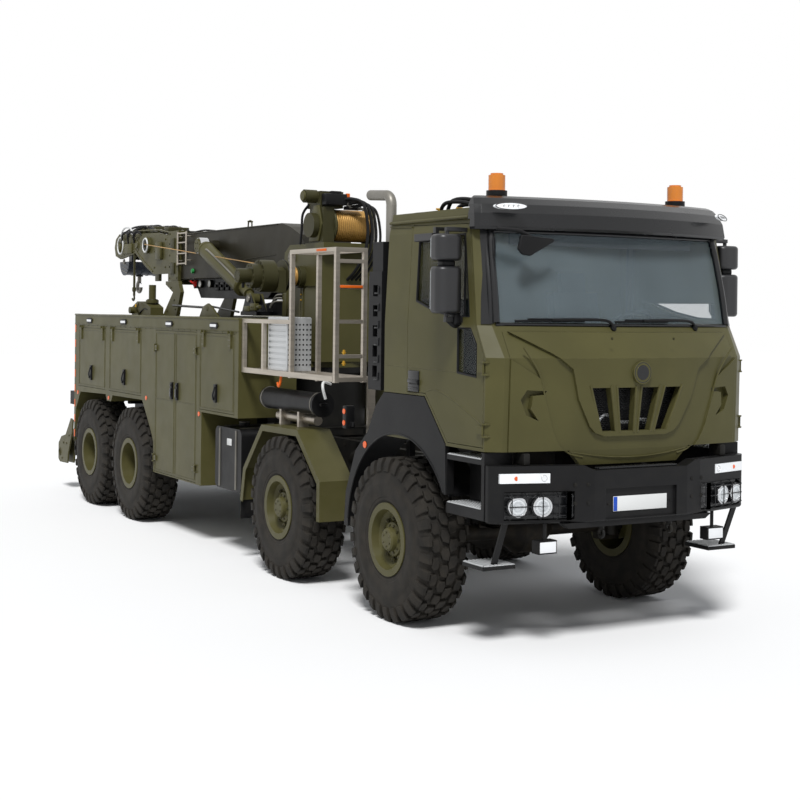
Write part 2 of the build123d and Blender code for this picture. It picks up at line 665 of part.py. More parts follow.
def exhaust_stack():
    """The slotted black shield, the heat guard above it, the bent tail pipe and their post."""
    shield = block(-1250, -960, 300, 520, 1872, 2870)
    shield -= block(-1200, -990, 310, 490, 1871, 2850)
    for level in range(5):
        low = 1980 + level * 170
        shield -= block(-1300, -1190, 370, 450, low, low + 95)
    guard = block(-1230, -980, 320, 500, 2869, 3120)
    bend = FilletPolyline((-1100, 420, 3110), (-1100, 420, 3520), (-1100, 790, 3545), radius=90)
    pipe = sweep(Plane(origin=bend @ 0, z_dir=bend % 0) * Circle(45), path=bend)
    post = block(-915, -356, 380, 440, RAIL_Z[1] + SEAT, RAIL_Z[1] + 50)
    post += block(-915, -860, 380, 440, RAIL_Z[1] + SEAT, 1990) + block(-975, -880, 380, 440, 1930, 1990)
    return shield + guard + pipe + post


def tanks():
    """Fuel tank on each side, the black filter canister and the gas bottle under it."""
    pieces = []
    for x0, x1 in (TANK_X, (-TANK_X[1], -TANK_X[0])):
        tank = block(x0, x1, *TANK_Y, *TANK_Z)
        tank = fillet(tank.edges().filter_by(Axis.X), 70)
        outside = x1 if x1 > 0 else x0
        pieces.append(tank + rod_z(outside * 0.8, TANK_Y[1] - 180, TANK_Z[1] - 10, TANK_Z[1] + 35, 55))
    canister = rod_y(-1090, 1720, 2900, 1660, 105) + rod_y(-1090, 1690, 1722, 1660, 118)
    canister += block(-1130, -1060, 1640, 1692, 1645, 1675)
    bottle = rod_y(-1060, 1850, 2700, 1500 - 2, 45)
    for y in (2100, 2500):
        canister += block(-1140, -1040, y, y + 40, second_fender_top(y) + SEAT, 1570)
    pieces.append(canister + bottle)
    return pieces


def service_frame():
    """The stainless ladder cage and basket beside the crane column, on both sides."""
    x0, x1 = 950, 1230
    size = 40
    frame = Part()
    for x in (x0, x1):
        for y in (1110, 2030):
            frame += block(x, x + size, y, y + size, 1900, 3100)
        frame += block(x, x + size, 1110, 2070, 3060, 3100)
        frame += block(x, x + size, 1160, 3180, 1900, 1950)
    frame += block(x1, x1 + size, 2070, 3180, 2400, 2440)
    for y in (2660, 3140):
        frame += block(x1, x1 + size, y, y + size, 1900, 2440)
        frame += block(x0, x1 + size, y, y + size, 1900, 1940)
    for y in (1110, 2030):
        frame += block(x0, x1 + size, y, y + size, 3060, 3100)
        frame += block(x0, x1 + size, y, y + size, 1900, 1940)
    for z in (2110, 2420, 2730, 2960):
        frame += block(x0 + 10, x1 + size - 10, 1112, 1148, z, z + 34)
    frame += block(RAIL_X[0], x0 + size, 2030, 2070, 1860, 1900)
    frame += block(RAIL_X[0], RAIL_X[1], 2030, 2070, RAIL_Z[1] + SEAT, 1870)
    frame += block(x0, x0 + size, 3180, LOCKER_FRONT_Y - SEAT, 1900, 1940)
    return twin(frame)


def equipment_box():
    """The ribbed aluminium equipment box that stands in the right-hand basket."""
    box = block(-1225, -975, 2190, 2640, 1950 + SEAT, 2460)
    for level in range(8):
        low = 1990 + level * 56
        box -= block(-1226, -1217, 2200, 2630, low, low + 22)
    return box


# Lockers: door openings on the outer face; y and z limits and how the door is hung
#                name        y0    y1    z0    z1    hung
LOCKER_DOORS = (
    ("front_flap", 3290, 4235, 1462, 2278, "top"),
    ("front_leaf", 4322, 4960, 660, 2278, "front"),
    ("rear_leaf", 4965, 5600, 660, 2278, "rear"),
    ("middle_flap", 6085, 7262, 1496, 2262, "top"),
    ("rear_flap", 7424, 8530, 1496, 2262, "top"),
)
LOCKER_OUTLINE = (
    (3190, 1430), (4170, 1430), (4170, 640), (5640, 640), (5650, 990), (5731, 1105), (6040, 1448), (7130, 1440), (7185, 1360),
    (7345, 1360), (7400, 1440), (8450, 1414), (8640, 1180), (8700, 760), (8720, 730), (8720, 2440), (3190, 2440),
)
#                 y0    y1    z0    z1 of each hollow behind the doors
LOCKER_CELLS = (
    (3230, 4260, 1465, 2390),
    (4300, 5600, 680, 2390),
    (5599, 5990, 1480, 2390),
    (6070, 7270, 1490, 2390),
    (7400, 8680, 1490, 2390),
)
HINGE_OUT = 13
HINGE_BARREL = 8


def rest_frame():
    """The boom rest: two bent legs and a flat saddle under the boom's collar."""
    top = BOOM_COLLAR_Z[0] - RUNNING_GAP
    leg = [
        (7840, DECK_Z[1] - 5), (7330, DECK_Z[1] - 5), (7180, 2740), (7270, top), (7720, top), (7720, top - 40),
        (7450, 2740),
    ]
    rest = block(-400, 400, 7570, 7720, top - 40, top)
    for side in (1, -1):
        rest += side_plate(leg, side * 350, side * 400)
    return rest


def tow_bar_socket():
    """The socket and post on the deck that hold a stowed tow bar."""
    deck = DECK_Z[1] - 5
    socket = [(8640, deck), (7900, deck), (7900, 2540), (8160, 2620), (8420, 2620), (8640, 2540)]
    body = side_plate(socket, -540, -360)
    body += rod_z(-450, 8080, 2560, 2840, 48) + rod_z(-450, 8080, 2600, 2640, 85)
    return body + rod_x(-600, -350, 8560, 2500, 45)


def lockers():
    """Both locker bodies, hollow and open at their doors, joined by the deck between them."""
    x0, x1 = LOCKER_X
    body = side_plate(LOCKER_OUTLINE, x0, x1)
    inner_x = x0 + LOCKER_WALL
    outer_x = x1 - DOOR_THICKNESS - RUNNING_GAP
    gap = RUNNING_GAP
    for y0, y1, z0, z1 in LOCKER_CELLS:
        body -= block(inner_x, outer_x - LOCKER_WALL, y0, y1, z0, z1)
    for name, y0, y1, z0, z1, hung in LOCKER_DOORS:
        body -= block(outer_x, x1 + 1, y0 - gap, y1 + gap, z0 - gap, z1 + gap)
        body -= block(outer_x - LOCKER_WALL - 1, outer_x + 1, y0 + 30, y1 - 30, z0 + 30, z1 - 30)
    body += locker_ears()
    whole = body + mirror(body, about=Plane.YZ)
    whole += block(-x0 - 5, x0 + 5, 4480, LOCKER_REAR_Y, *DECK_Z)
    return whole + rest_frame() + tow_bar_socket()


def locker_hinges(door):
    """The centres of a door's two hinges and the direction of its axis."""
    name, y0, y1, z0, z1, hung = door
    if hung == "top":
        return [(y0 + 110, z1), (y1 - 110, z1)], "y"
    y = y0 if hung == "front" else y1
    return [(y, z0 + 150), (y, z1 - 200)], "z"


HINGE_HALF_LENGTH = 34
EAR = 10


def locker_ears():
    """The fixed ears of every locker hinge on the left side."""
    x = LOCKER_X[1] + HINGE_OUT
    out = HINGE_BARREL + 2
    ears = Part()
    for door in LOCKER_DOORS:
        centres, along = locker_hinges(door)
        toward = 1 if door[5] != "front" else -1
        for y, z in centres:
            for end in (-HINGE_HALF_LENGTH - EAR, HINGE_HALF_LENGTH):
                if along == "y":
                    ears += rod_y(x, y + end, y + end + EAR, z, out)
                    ears += block(x - out, x + out, y + end, y + end + EAR, z, z + 34)
                    ears += block(LOCKER_X[1] - 2, x, y + end, y + end + EAR, z + 9, z + 34)
                else:
                    far = y + toward * 34
                    ears += rod_z(x, y, z + end, z + end + EAR, out)
                    ears += block(x - out, x + out, y, far, z + end, z + end + EAR)
                    ears += block(LOCKER_X[1] - 2, x, y + toward * 9, far, z + end, z + end + EAR)
    return ears


def locker_door(door):
    """A locker door of the left side, with its hinge barrels, straps and latch."""
    name, y0, y1, z0, z1, hung = door
    outer_x = LOCKER_X[1]
    panel = block(outer_x - DOOR_THICKNESS, outer_x, y0, y1, z0, z1)
    centres, along = locker_hinges(door)
    x = outer_x + HINGE_OUT
    reach = HINGE_HALF_LENGTH - SEAT
    for y, z in centres:
        if along == "y":
            panel += rod_y(x, y - reach, y + reach, z, HINGE_BARREL)
            panel += block(outer_x - 1, x + 3, y - reach + 4, y + reach - 4, z - 150, z - 2)
            panel += block(outer_x - 1, x, y - 6, y + 6, z - 12, z)
        else:
            away = 1 if hung == "front" else -1
            panel += rod_z(x, y, z - reach, z + reach, HINGE_BARREL)
            panel += block(outer_x - 1, x + 3, y + away * 2, y + away * 70, z - reach + 4, z + reach - 4)
    if hung == "top":
        latch_y, latch_z = (y0 + y1) / 2, z0 + 190
    else:
        latch_y, latch_z = (y1 - 80 if hung == "front" else y0 + 80), 1610
    return panel + block(outer_x - 1, outer_x + 22, latch_y - 28, latch_y + 28, latch_z - 95, latch_z + 95)


# Crane

def turret():
    """The slewing column with cheeks for the boom, brackets for the cylinders and the winch deck."""
    w = COLUMN_HALF_WIDTH
    y0, y1 = COLUMN_Y
    pivot_y, pivot_z = BOOM_PIVOT
    body = rod_z(0, SLEW_Y, COLUMN_BASE_Z, COLUMN_BASE_Z + 70, SLEW_RING_RADIUS)
    body += block(-w, w, y0, y1, COLUMN_BASE_Z + 60, COLUMN_TOP_Z)
    arm = [(y1 - 60, 2465), (5150, 2465), (5150, 2560), (y1 + 250, 2620), (y1 - 60, 2620)]
    body += side_plate(arm, -w, w)
    cheek = [
        (y0, COLUMN_TOP_Z - 10), (y1, COLUMN_TOP_Z - 10), (pivot_y + 200, pivot_z + 60), (pivot_y + 70, pivot_z + 140),
        (pivot_y - 200, pivot_z + 140), (y0, pivot_z + 60),
    ]
    base_y, base_z = CYLINDER_BASE
    for side in (1, -1):
        inner, outer = side * (BOOM_HALF_WIDTH + RUNNING_GAP), side * (w + 0)
        body += side_plate(cheek, inner, outer)
        for lug in (CYLINDER_X - 75, CYLINDER_X + 45):
            ear = [(base_y - 200, 2470), (base_y + 200, 2470), (base_y + 62, base_z + 60), (base_y - 62, base_z + 60)]
            body += side_plate(ear, side * lug, side * (lug + 30))
        body += block(side * (w - 20), side * (CYLINDER_X + 75), base_y - 220, base_y + 220, 2465, 2510)
        body += rod_x(side * (CYLINDER_X - 76), side * (CYLINDER_X + 76), base_y, base_z, 30)
        for cover_y in COVER_Y:
            body -= block(side * (w - 12), side * (w + 1), cover_y, cover_y + 320, 2060, 2790)
    body += rod_x(-w, w, pivot_y, pivot_z, PIVOT_RADIUS)
    deck_z = (3150, 3245)
    body += block(-w, w, 3200, 3640, *deck_z) - block(-w + 60, w - 60, 3260, 3580, 3140, 3220)
    return body + block(-w, w, y0, y0 + 40, COLUMN_TOP_Z - 10, deck_z[0] + 5)


def winches():
    """The rope winch above the column and the planetary winch on each side of it."""
    z, y = 3435, 3420
    deck = 3245 + SEAT
    top = rod_x(-170, 250, y, z, 150)
    for x in (-200, 250):
        top += rod_x(x, x + 30, y, z, 188)
    top += block(-330, -200, 3260, 3580, deck, 3620) + block(280, 330, 3290, 3550, deck, 3470)
    top += block(-330, -60, 3330, 3640, 3615, 3790) + rod_x(-470, -330, 3440, 3735, 70)
    top += rod_x(-420, -330, 3420, 3430, 130)
    pieces = [top]
    wy, wz = SIDE_WINCH
    start = COLUMN_HALF_WIDTH + SEAT
    winch = rod_x(start, start + 60, wy, wz, 120) + rod_x(start + 60, 700, wy, wz, 100)
    winch += rod_x(560, 590, wy, wz, 175) + rod_x(700, 860, wy, wz, 170) + rod_x(860, 960, wy, wz, 130)
    winch += rod_x(960, 1100, wy, wz, 75) + block(600, 690, wy - 150, wy + 150, wz - 175, wz + 60)
    return pieces + twin(winch)


def boom():
    """The outer boom section: a hollow box with a rounded heel and a collar at its mouth."""
    w = BOOM_HALF_WIDTH
    pivot_y, pivot_z = BOOM_PIVOT
    heel = [
        (pivot_y - 130, pivot_z - 190), (pivot_y - 230, pivot_z - 50), (pivot_y - 225, pivot_z + 100),
        (pivot_y - 60, pivot_z + 255), (pivot_y + 200, BOOM_TOP_Z - 50), (pivot_y + 420, BOOM_TOP_Z),
    ]
    side = heel + [(BOOM_END_Y, BOOM_TOP_Z), (BOOM_END_Y, BOOM_PANEL_Z), (pivot_y + 480, BOOM_PANEL_Z)]
    body = side_plate(side, -w, w)
    clear = EXTENSION_HALF_WIDTH + RUNNING_GAP
    low, high = EXTENSION_Z[0] - RUNNING_GAP, EXTENSION_Z[1] + RUNNING_GAP
    body -= block(-clear, clear, 4560, BOOM_END_Y + 1, low, high)
    collar = block(-w - 45, w + 45, 7450, BOOM_END_Y + 60, *BOOM_COLLAR_Z)
    pad = EXTENSION_HALF_WIDTH + SEAT
    collar -= block(-pad, pad, 7400, BOOM_END_Y + 100, EXTENSION_Z[0] - SEAT, EXTENSION_Z[1] + SEAT)
    body -= block(-w + 20, w - 20, 7460, BOOM_END_Y + 1, BOOM_PANEL_Z + 30, BOOM_TOP_Z - 10)
    body += collar
    top_y, top_z = CYLINDER_TOP
    for side_sign in (1, -1):
        body += rod_x(side_sign * (w - 20), side_sign * (CYLINDER_X - 62), top_y, top_z, 75)
    return body - rod_x(-w - 1, w + 1, pivot_y, pivot_z, PIVOT_RADIUS + SEAT)


def boom_belly():
    """The tray of valves and controls that hangs under the outer boom section."""
    top, w = BOOM_PANEL_Z - SEAT, BOOM_HALF_WIDTH - 60
    start = BOOM_PIVOT[0] + 480
    outline = [
        (start, top), (BOOM_END_Y - 620, top), (BOOM_END_Y - 850, BOOM_KEEL_Z + 20), (start + 820, BOOM_KEEL_Z),
        (start + 420, BOOM_KEEL_Z + 20),
    ]
    return side_plate(outline, -w, w)


def boom_extension():
    """The telescopic section with its head plates, sheaves and pin for the hook block."""
    w = EXTENSION_HALF_WIDTH
    low, high = EXTENSION_Z
    pin_y, pin_z = HOOK_PIVOT
    body = block(-w, w, 4600, 7900, low, high)
    body -= block(-w + 15, w - 15, 4590, 7800, low + 15, high - 15)
    head = [
        (7830, low), (7830, high + 50), (8300, high + 110), (9250, high + 130), (9900, 3590), (10050, 3520),
        (HEAD_END_Y, 3400), (10050, 3280), (9840, 3230), (9200, 3300), (8750, 3090), (8450, low),
    ]
    for side in (1, -1):
        body += side_plate(head, side * 270, side * 305)
    body += block(-280, 280, 7830, 7900, low, high + 40)
    body += block(-280, 280, 8300, 8360, low + 60, high)
    body += rod_x(-275, 275, 9130, 3420, 120) + rod_x(-275, 275, 8800, 3400, 110)
    body += rod_x(-90, 90, pin_y, pin_z, 170) + rod_x(-280, 280, pin_y, pin_z, HOOK_PIN_RADIUS)
    for side in (1, -1):
        body += rod_x(side * 300, side * 350, *HEAD_PULLEY, 110) + rod_x(side * 300, side * 365, *HEAD_PULLEY, 40)
    return body


def hook_block():
    """The hook block: two hanger straps, a rounded block and the hook under it."""
    y, z = HOOK_PIVOT
    body = Part()
    for side in (1, -1):
        strap = side_plate([(y - 60, z - 240), (y - 60, z), (y + 60, z), (y + 60, z - 240)], side * 110, side * 140)
        strap += rod_x(side * 110, side * 140, y, z, 60)
        body += strap - rod_x(side * 109, side * 141, y, z, HOOK_PIN_RADIUS + SEAT)
    half = [(y - 190, z - 235), (y - 190, z - 205), (y + 190, z - 205), (y + 190, z - 235)]
    body += side_plate(half, -220, 220)
    body += rod_x(-220, 220, y, z - 205, 190) - block(-221, 221, y - 200, y + 200, z - 205, z)
    for x in (-222, -110, 0, 110, 222):
        body += rod_x(x - 8, x + 8, y, z - 205, 197) - block(-240, 240, y - 200, y + 200, z - 205, z)
    drop = z - 560
    shank = rod_z(0, y, drop + 70, z - 380, 28)
    bend = Pos(0, y, drop) * Rot(0, 90, 0) * Torus(75, 25)
    bend -= block(-60, 60, y - 110, y - 10, drop - 10, drop + 110)
    return body + shank + bend


def cylinder_line():
    """The left lift cylinder's base and top as points, and the unit vector between them."""
    base = Vector(CYLINDER_X, *CYLINDER_BASE)
    top = Vector(CYLINDER_X, *CYLINDER_TOP)
    return base, top, (top - base).normalized()


def lift_barrels():
    """The lift cylinders' barrels with their lower eyes."""
    base, top, along = cylinder_line()
    end = top - along * (CYLINDER_EYE_RADIUS + 12)
    barrel = round_strut(tuple(base + along * 340), tuple(end), BARREL_RADIUS)
    barrel += rod_x(CYLINDER_X - 40, CYLINDER_X + 40, *CYLINDER_BASE, 62)
    barrel += round_strut(tuple(base + along * 20), tuple(base + along * 180), 38)
    barrel += round_strut(tuple(base + along * 165), tuple(base + along * 350), 62)
    barrel -= round_strut(tuple(base + along * 380), tuple(end + along * 10), CYLINDER_ROD_RADIUS + SEAT)
    barrel -= rod_x(CYLINDER_X - 50, CYLINDER_X + 50, *CYLINDER_BASE, 30 + SEAT)
    return twin(barrel)


def lift_rods():
    """The lift cylinders' rods with their upper eyes."""
    base, top, along = cylinder_line()
    rod = round_strut(tuple(base + along * 400), tuple(top - along * 20), CYLINDER_ROD_RADIUS)
    rod += rod_x(CYLINDER_X - 55, CYLINDER_X + 60, *CYLINDER_TOP, CYLINDER_EYE_RADIUS)
    return twin(rod)


# Rear end

def underlift_carriage():
    """The underlift's carriage, which slides on the guides, with its square arm sleeve."""
    y = UNDERLIFT_MAST_Y
    low, high = CARRIAGE_Z
    arm_x, (arm_low, arm_high) = ARM_HALF_WIDTH, ARM_Z
    body = block(-180 + SEAT, 180 - SEAT, y - 10, y + 100, low, high)
    body += block(-300, 300, y + 90 + SEAT, y + 140, low + 30, high - 50)
    sleeve = block(-arm_x - 30, arm_x + 30, y + 130, y + 520, arm_low - 30, arm_high + 30)
    sleeve -= block(-arm_x - SEAT, arm_x + SEAT, y + 150, y + 530, arm_low - SEAT, arm_high + SEAT)
    return body + sleeve


def underlift_crossbar():
    """The sliding arm, the crossbar and its end brackets with towing eyes."""
    rear = CROSSBAR_REAR_Y
    near, far = TOWING_EYE_X
    body = block(-ARM_HALF_WIDTH, ARM_HALF_WIDTH, UNDERLIFT_MAST_Y + 170, rear - 180, *ARM_Z)
    body += block(-near - 100, near + 100, rear - 320, rear - 160, ARM_Z[0] - 10, ARM_Z[1] + 10)
    bracket = [
        (rear - 650, 980), (rear - 560, 1000), (rear - 330, 760), (rear - 130, 720), (rear, 620), (rear, 400),
        (rear - 80, 360), (rear - 420, 370), (rear - 460, 520), (rear - 620, 800),
    ]
    for side in (1, -1):
        for x in (near, far - 20):
            body += side_plate(bracket, side * x, side * (x + 20))
        body += rod_x(side * near, side * far, *TOWING_EYE, TOWING_EYE_RADIUS + 22)
        body -= rod_x(side * (near - 1), side * (far + 1), *TOWING_EYE, TOWING_EYE_RADIUS)
    return body


def rear_lamps():
    """Tail lamp boxes with their arms behind the lockers."""
    lamp = block(980, 1230, 8850, 9130, 1210, 1390)
    arm = block(1060, 1110, LOCKER_REAR_Y + SEAT, 8860, 1270, 1330)
    return twin(lamp + arm)


def lamps():
    """Head, fog, indicator, roof and visor lamps and the beacons."""
    pieces = []
    pod = angled_block(622, 1143, LAMP_DEPTH - 26, LAMP_DEPTH - SEAT, 1006, 1204)
    slope = Vector(158, -580, 0).normalized()
    for x in HEADLAMP_X:
        face = Plane(origin=(x, bumper_face(x, LAMP_DEPTH - 20), HEADLAMP_Z), z_dir=slope)
        pod += extrude(face * Circle(84), 52)
    indicator = angled_block(806, 1184, -2, 20 - SEAT, 1274, 1346)
    fog = block(735, 900, -1520, -1430, 745, 845) + rod_z(817, -1475, 840, BUMPER_Z[0] - SEAT, 14)
    beacon = rod_z(894, -888, CAB_ROOF_Z + SEAT, 3450, 40) + rod_z(894, -888, 3445, 3485, 82)
    beacon += rod_z(894, -888, 3480, 3605, 66) + rod_z(894, -888, 3600, 3620, 50)
    for piece in (pod, indicator, fog, beacon):
        pieces += twin(piece)
    return pieces + rear_lamps()


def mirrors():
    """The left door's mirror arm, its two housings and the kerb mirror above the window."""
    top_z, low_z = 3150, 2460
    arm = block(cab_side(top_z) + SEAT, 1400, -980, -945, top_z, top_z + 30)
    arm += block(cab_side(low_z) + SEAT, 1400, -980, -945, low_z, low_z + 40)
    arm += rod_z(1385, -960, low_z, top_z + 30, 16)
    housings = Part()
    for z0, z1 in ((2925, 3125), (2524, 2883)):
        housing = block(1275, 1500, -1045, -860, z0, z1)
        housing = fillet(housing.edges().filter_by(Axis.Z), 75)
        housings += fillet(housing.faces().sort_by(Axis.Z)[-1].edges() + housing.faces().sort_by(Axis.Z)[0].edges(), 30)
    kerb = block(1300, 1430, -810, -540, 3085, 3140) + block(1300, 1330, -700, -660, 3120, 3195)
    kerb += block(cab_side(3168) + SEAT, 1330, -700, -660, 3168, 3195)
    return arm + housings + kerb


def export(name, pieces):
    """Write one node, moved so that the origin is under the middle of the overall length."""
    solids = pieces if isinstance(pieces, list) else [pieces]
    node = Compound([solid for piece in solids for solid in piece.solids()])
    export_step(Pos(0, ORIGIN_SHIFT, 0) * node, f"parts/{name}.step")


def main():
    os.makedirs("parts", exist_ok=True)
    for index, axle_y in enumerate(AXLE_Y):
        steered = index < 2
        place = Pos(WHEEL_X, axle_y, TYRE_RADIUS)
        for name, shape in (("tyre", place * tyre()), ("rim", place * rim(deep_dish=not steered))):
            for side, piece in zip(("left", "right"), twin(shape)):
                export(f"{name}_{index + 1}_{side}", piece)
        if steered:
            for side, piece in zip(("left", "right"), twin(knuckle(axle_y))):
                export(f"steering_knuckle_{index + 1}_{side}", piece)
    for name, shape in (("cab_door", cab_door()), ("mirrors", mirrors())):
        for side, piece in zip(("left", "right"), twin(shape)):
            export(f"{name}_{side}", piece)
    for door in LOCKER_DOORS:
        for side, piece in zip(("left", "right"), twin(locker_door(door))):
            export(f"locker_{door[0]}_{side}", piece)
    fixed = (
        chassis_frame, driveline, cab_shell, front_panel, windscreen, sun_visor, cab_interior, bumper, exhaust_stack,
        tanks, service_frame, equipment_box, lockers, lamps, turret, winches, boom, boom_belly, boom_extension,
        hook_block, lift_barrels, lift_rods, underlift_carriage, underlift_crossbar,
    )
    for make in fixed:
        export(make.__name__, make())
    export("front_fenders", twin(front_fender()))
    export("second_fenders", twin(second_fender()))


main()
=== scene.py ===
"""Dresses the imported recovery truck: materials, tread, bolts, glass, hoses, rope, lamps, light and camera."""

import math

import bmesh
import bpy
from mathutils import Matrix, Vector


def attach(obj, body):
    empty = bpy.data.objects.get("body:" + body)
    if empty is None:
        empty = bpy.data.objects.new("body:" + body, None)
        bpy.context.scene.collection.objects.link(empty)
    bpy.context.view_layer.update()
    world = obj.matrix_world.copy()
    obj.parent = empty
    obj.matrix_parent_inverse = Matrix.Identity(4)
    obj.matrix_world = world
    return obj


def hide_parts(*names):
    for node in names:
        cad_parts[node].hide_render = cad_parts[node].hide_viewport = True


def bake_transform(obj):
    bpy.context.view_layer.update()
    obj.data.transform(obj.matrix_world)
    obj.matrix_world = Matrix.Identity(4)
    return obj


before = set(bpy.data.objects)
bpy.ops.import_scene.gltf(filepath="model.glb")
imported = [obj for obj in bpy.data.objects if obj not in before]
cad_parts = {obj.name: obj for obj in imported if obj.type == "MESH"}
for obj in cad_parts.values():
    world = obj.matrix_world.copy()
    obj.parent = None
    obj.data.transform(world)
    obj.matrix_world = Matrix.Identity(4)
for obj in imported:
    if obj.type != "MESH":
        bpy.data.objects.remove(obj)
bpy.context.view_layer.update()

# Lengths below are in millimetres, and y counts from the first axle, which lies 4250 mm ahead of the origin.
AXLE_ONE_Y = 4250
AXLES = (0, 2107, 6361, 7888)
WHEEL_X = 1145
WHEEL_Z = 671.5
SIDES = (("left", 1), ("right", -1))


def at(x, y, z):
    """A point of the truck in metres."""
    return Vector((x, y - AXLE_ONE_Y, z)) / 1000


def placed(name, data):
    """A new object in the scene."""
    thing = bpy.data.objects.new(name, data)
    bpy.context.scene.collection.objects.link(thing)
    return thing


# Materials

class Tree:
    """The nodes of a new material or world."""

    def __init__(self, owner):
        owner.use_nodes = True
        self.nodes, self.links = owner.node_tree.nodes, owner.node_tree.links

    def put(self, node, inputs):
        """Gives a node's inputs, by name or number, a constant or another node's output."""
        for key, value in inputs.items():
            if isinstance(value, bpy.types.NodeSocket):
                self.links.new(value, node.inputs[key])
            else:
                node.inputs[key].default_value = value

    def add(self, kind, output, inputs=None, **settings):
        """A new node's output."""
        node = self.nodes.new(f"ShaderNode{kind}")
        for name, value in settings.items():
            setattr(node, name, value)
        self.put(node, inputs or {})
        return node.outputs[output]

    def noise(self, scale, detail=4, stretch=None):
        """A noise texture in the object's own coordinates."""
        place = self.add("TexCoord", "Object")
        if stretch:
            place = self.add("Mapping", "Vector", {"Scale": stretch, "Vector": place})
        return self.add("TexNoise", "Fac", {"Scale": scale, "Detail": detail, "Vector": place})

    def ramp(self, source, low, high):
        """A value stretched between two limits to 0 to 1."""
        return self.add("MapRange", "Result", {"From Min": low, "From Max": high, "Value": source})

    def mix(self, factor, a, b):
        """A colour between two, each a colour or another node's output."""
        return self.add("Mix", 2, {6: a, 7: b, 0: factor}, data_type="RGBA")

    def times(self, a, b):
        """The product of an output and an output or number."""
        return self.add("Math", 0, {0: a, 1: b}, operation="MULTIPLY")


def srgb(r, g, b):
    """A linear colour from its 0 to 255 values."""
    return tuple(((c / 255 + 0.055) / 1.055) ** 2.4 if c > 10 else c / 255 / 12.92 for c in (r, g, b)) + (1,)


def shaded(colour, share):
    """A colour made darker or lighter."""
    return tuple(min(1, c * share) for c in colour[:3]) + (1,)


def surface(
    name, colour, roughness=0.5, metallic=0.0, patch=0.10, dust=0.0, dust_colour=(110, 100, 82), bump=0.05,
    bump_scale=90.0, rounding=3.0, wear=0.0, wear_colour=(150, 145, 120), stretch=None, shine=0.16,
):
    """A painted, moulded or metal surface with cloudy colour, dust low down, worn edges and a fine bump."""
    material = bpy.data.materials.new(name)
    tree = Tree(material)
    base = srgb(*colour)
    clouds = tree.ramp(tree.noise(2.3, 5, stretch), 0.35, 0.65)
    result = tree.mix(clouds, shaded(base, 1 - patch * 1.6), shaded(base, 1 + patch))
    if dust:
        height = tree.add("SeparateXYZ", "Z", {0: tree.add("TexCoord", "Object")})
        low = tree.ramp(height, 1.7, 0.2)
        specks = tree.ramp(tree.noise(9.0, 6), 0.38, 0.72)
        result = tree.mix(tree.times(tree.times(low, specks), dust), result, srgb(*dust_colour))
    bevel = tree.add("Bevel", 0, {"Radius": rounding / 1000}, samples=4)
    if wear:
        normal = tree.add("NewGeometry", "Normal")
        edge = tree.ramp(tree.add("VectorMath", "Value", {0: bevel, 1: normal}, operation="DOT_PRODUCT"), 0.995, 0.90)
        scratches = tree.ramp(tree.noise(14.0, 8), 0.45, 0.62)
        result = tree.mix(tree.times(tree.times(edge, scratches), wear), result, srgb(*wear_colour))
    grain = tree.noise(bump_scale, 3, stretch)
    tree.put(tree.nodes["Principled BSDF"], {
        "Base Color": result,
        "Roughness": tree.add("MapRange", "Result", {
            "To Min": max(0.02, roughness - 0.07), "To Max": min(1.0, roughness + 0.09), "Value": tree.noise(6.0, 4)}),
        "Normal": tree.add("Bump", "Normal", {"Strength": bump, "Distance": 0.002, "Height": grain, "Normal": bevel}),
        "Metallic": metallic, "Specular IOR Level": shine,
    })
    return material


def glass(name, colour, alpha, roughness=0.03, glow=0.0):
    """A clear or coloured glass or lens, see-through by its alpha."""
    material = bpy.data.materials.new(name)
    tree = Tree(material)
    shader, base = tree.nodes["Principled BSDF"], srgb(*colour)
    cloud = tree.ramp(tree.noise(3.0, 2), 0.3, 0.7)
    tree.put(shader, {
        "Base Color": tree.mix(cloud, shaded(base, 0.85), base), "Roughness": roughness, "Alpha": alpha,
        "Specular IOR Level": 0.5})
    if glow:
        tree.put(shader, {"Emission Color": base, "Emission Strength": glow})
    return material


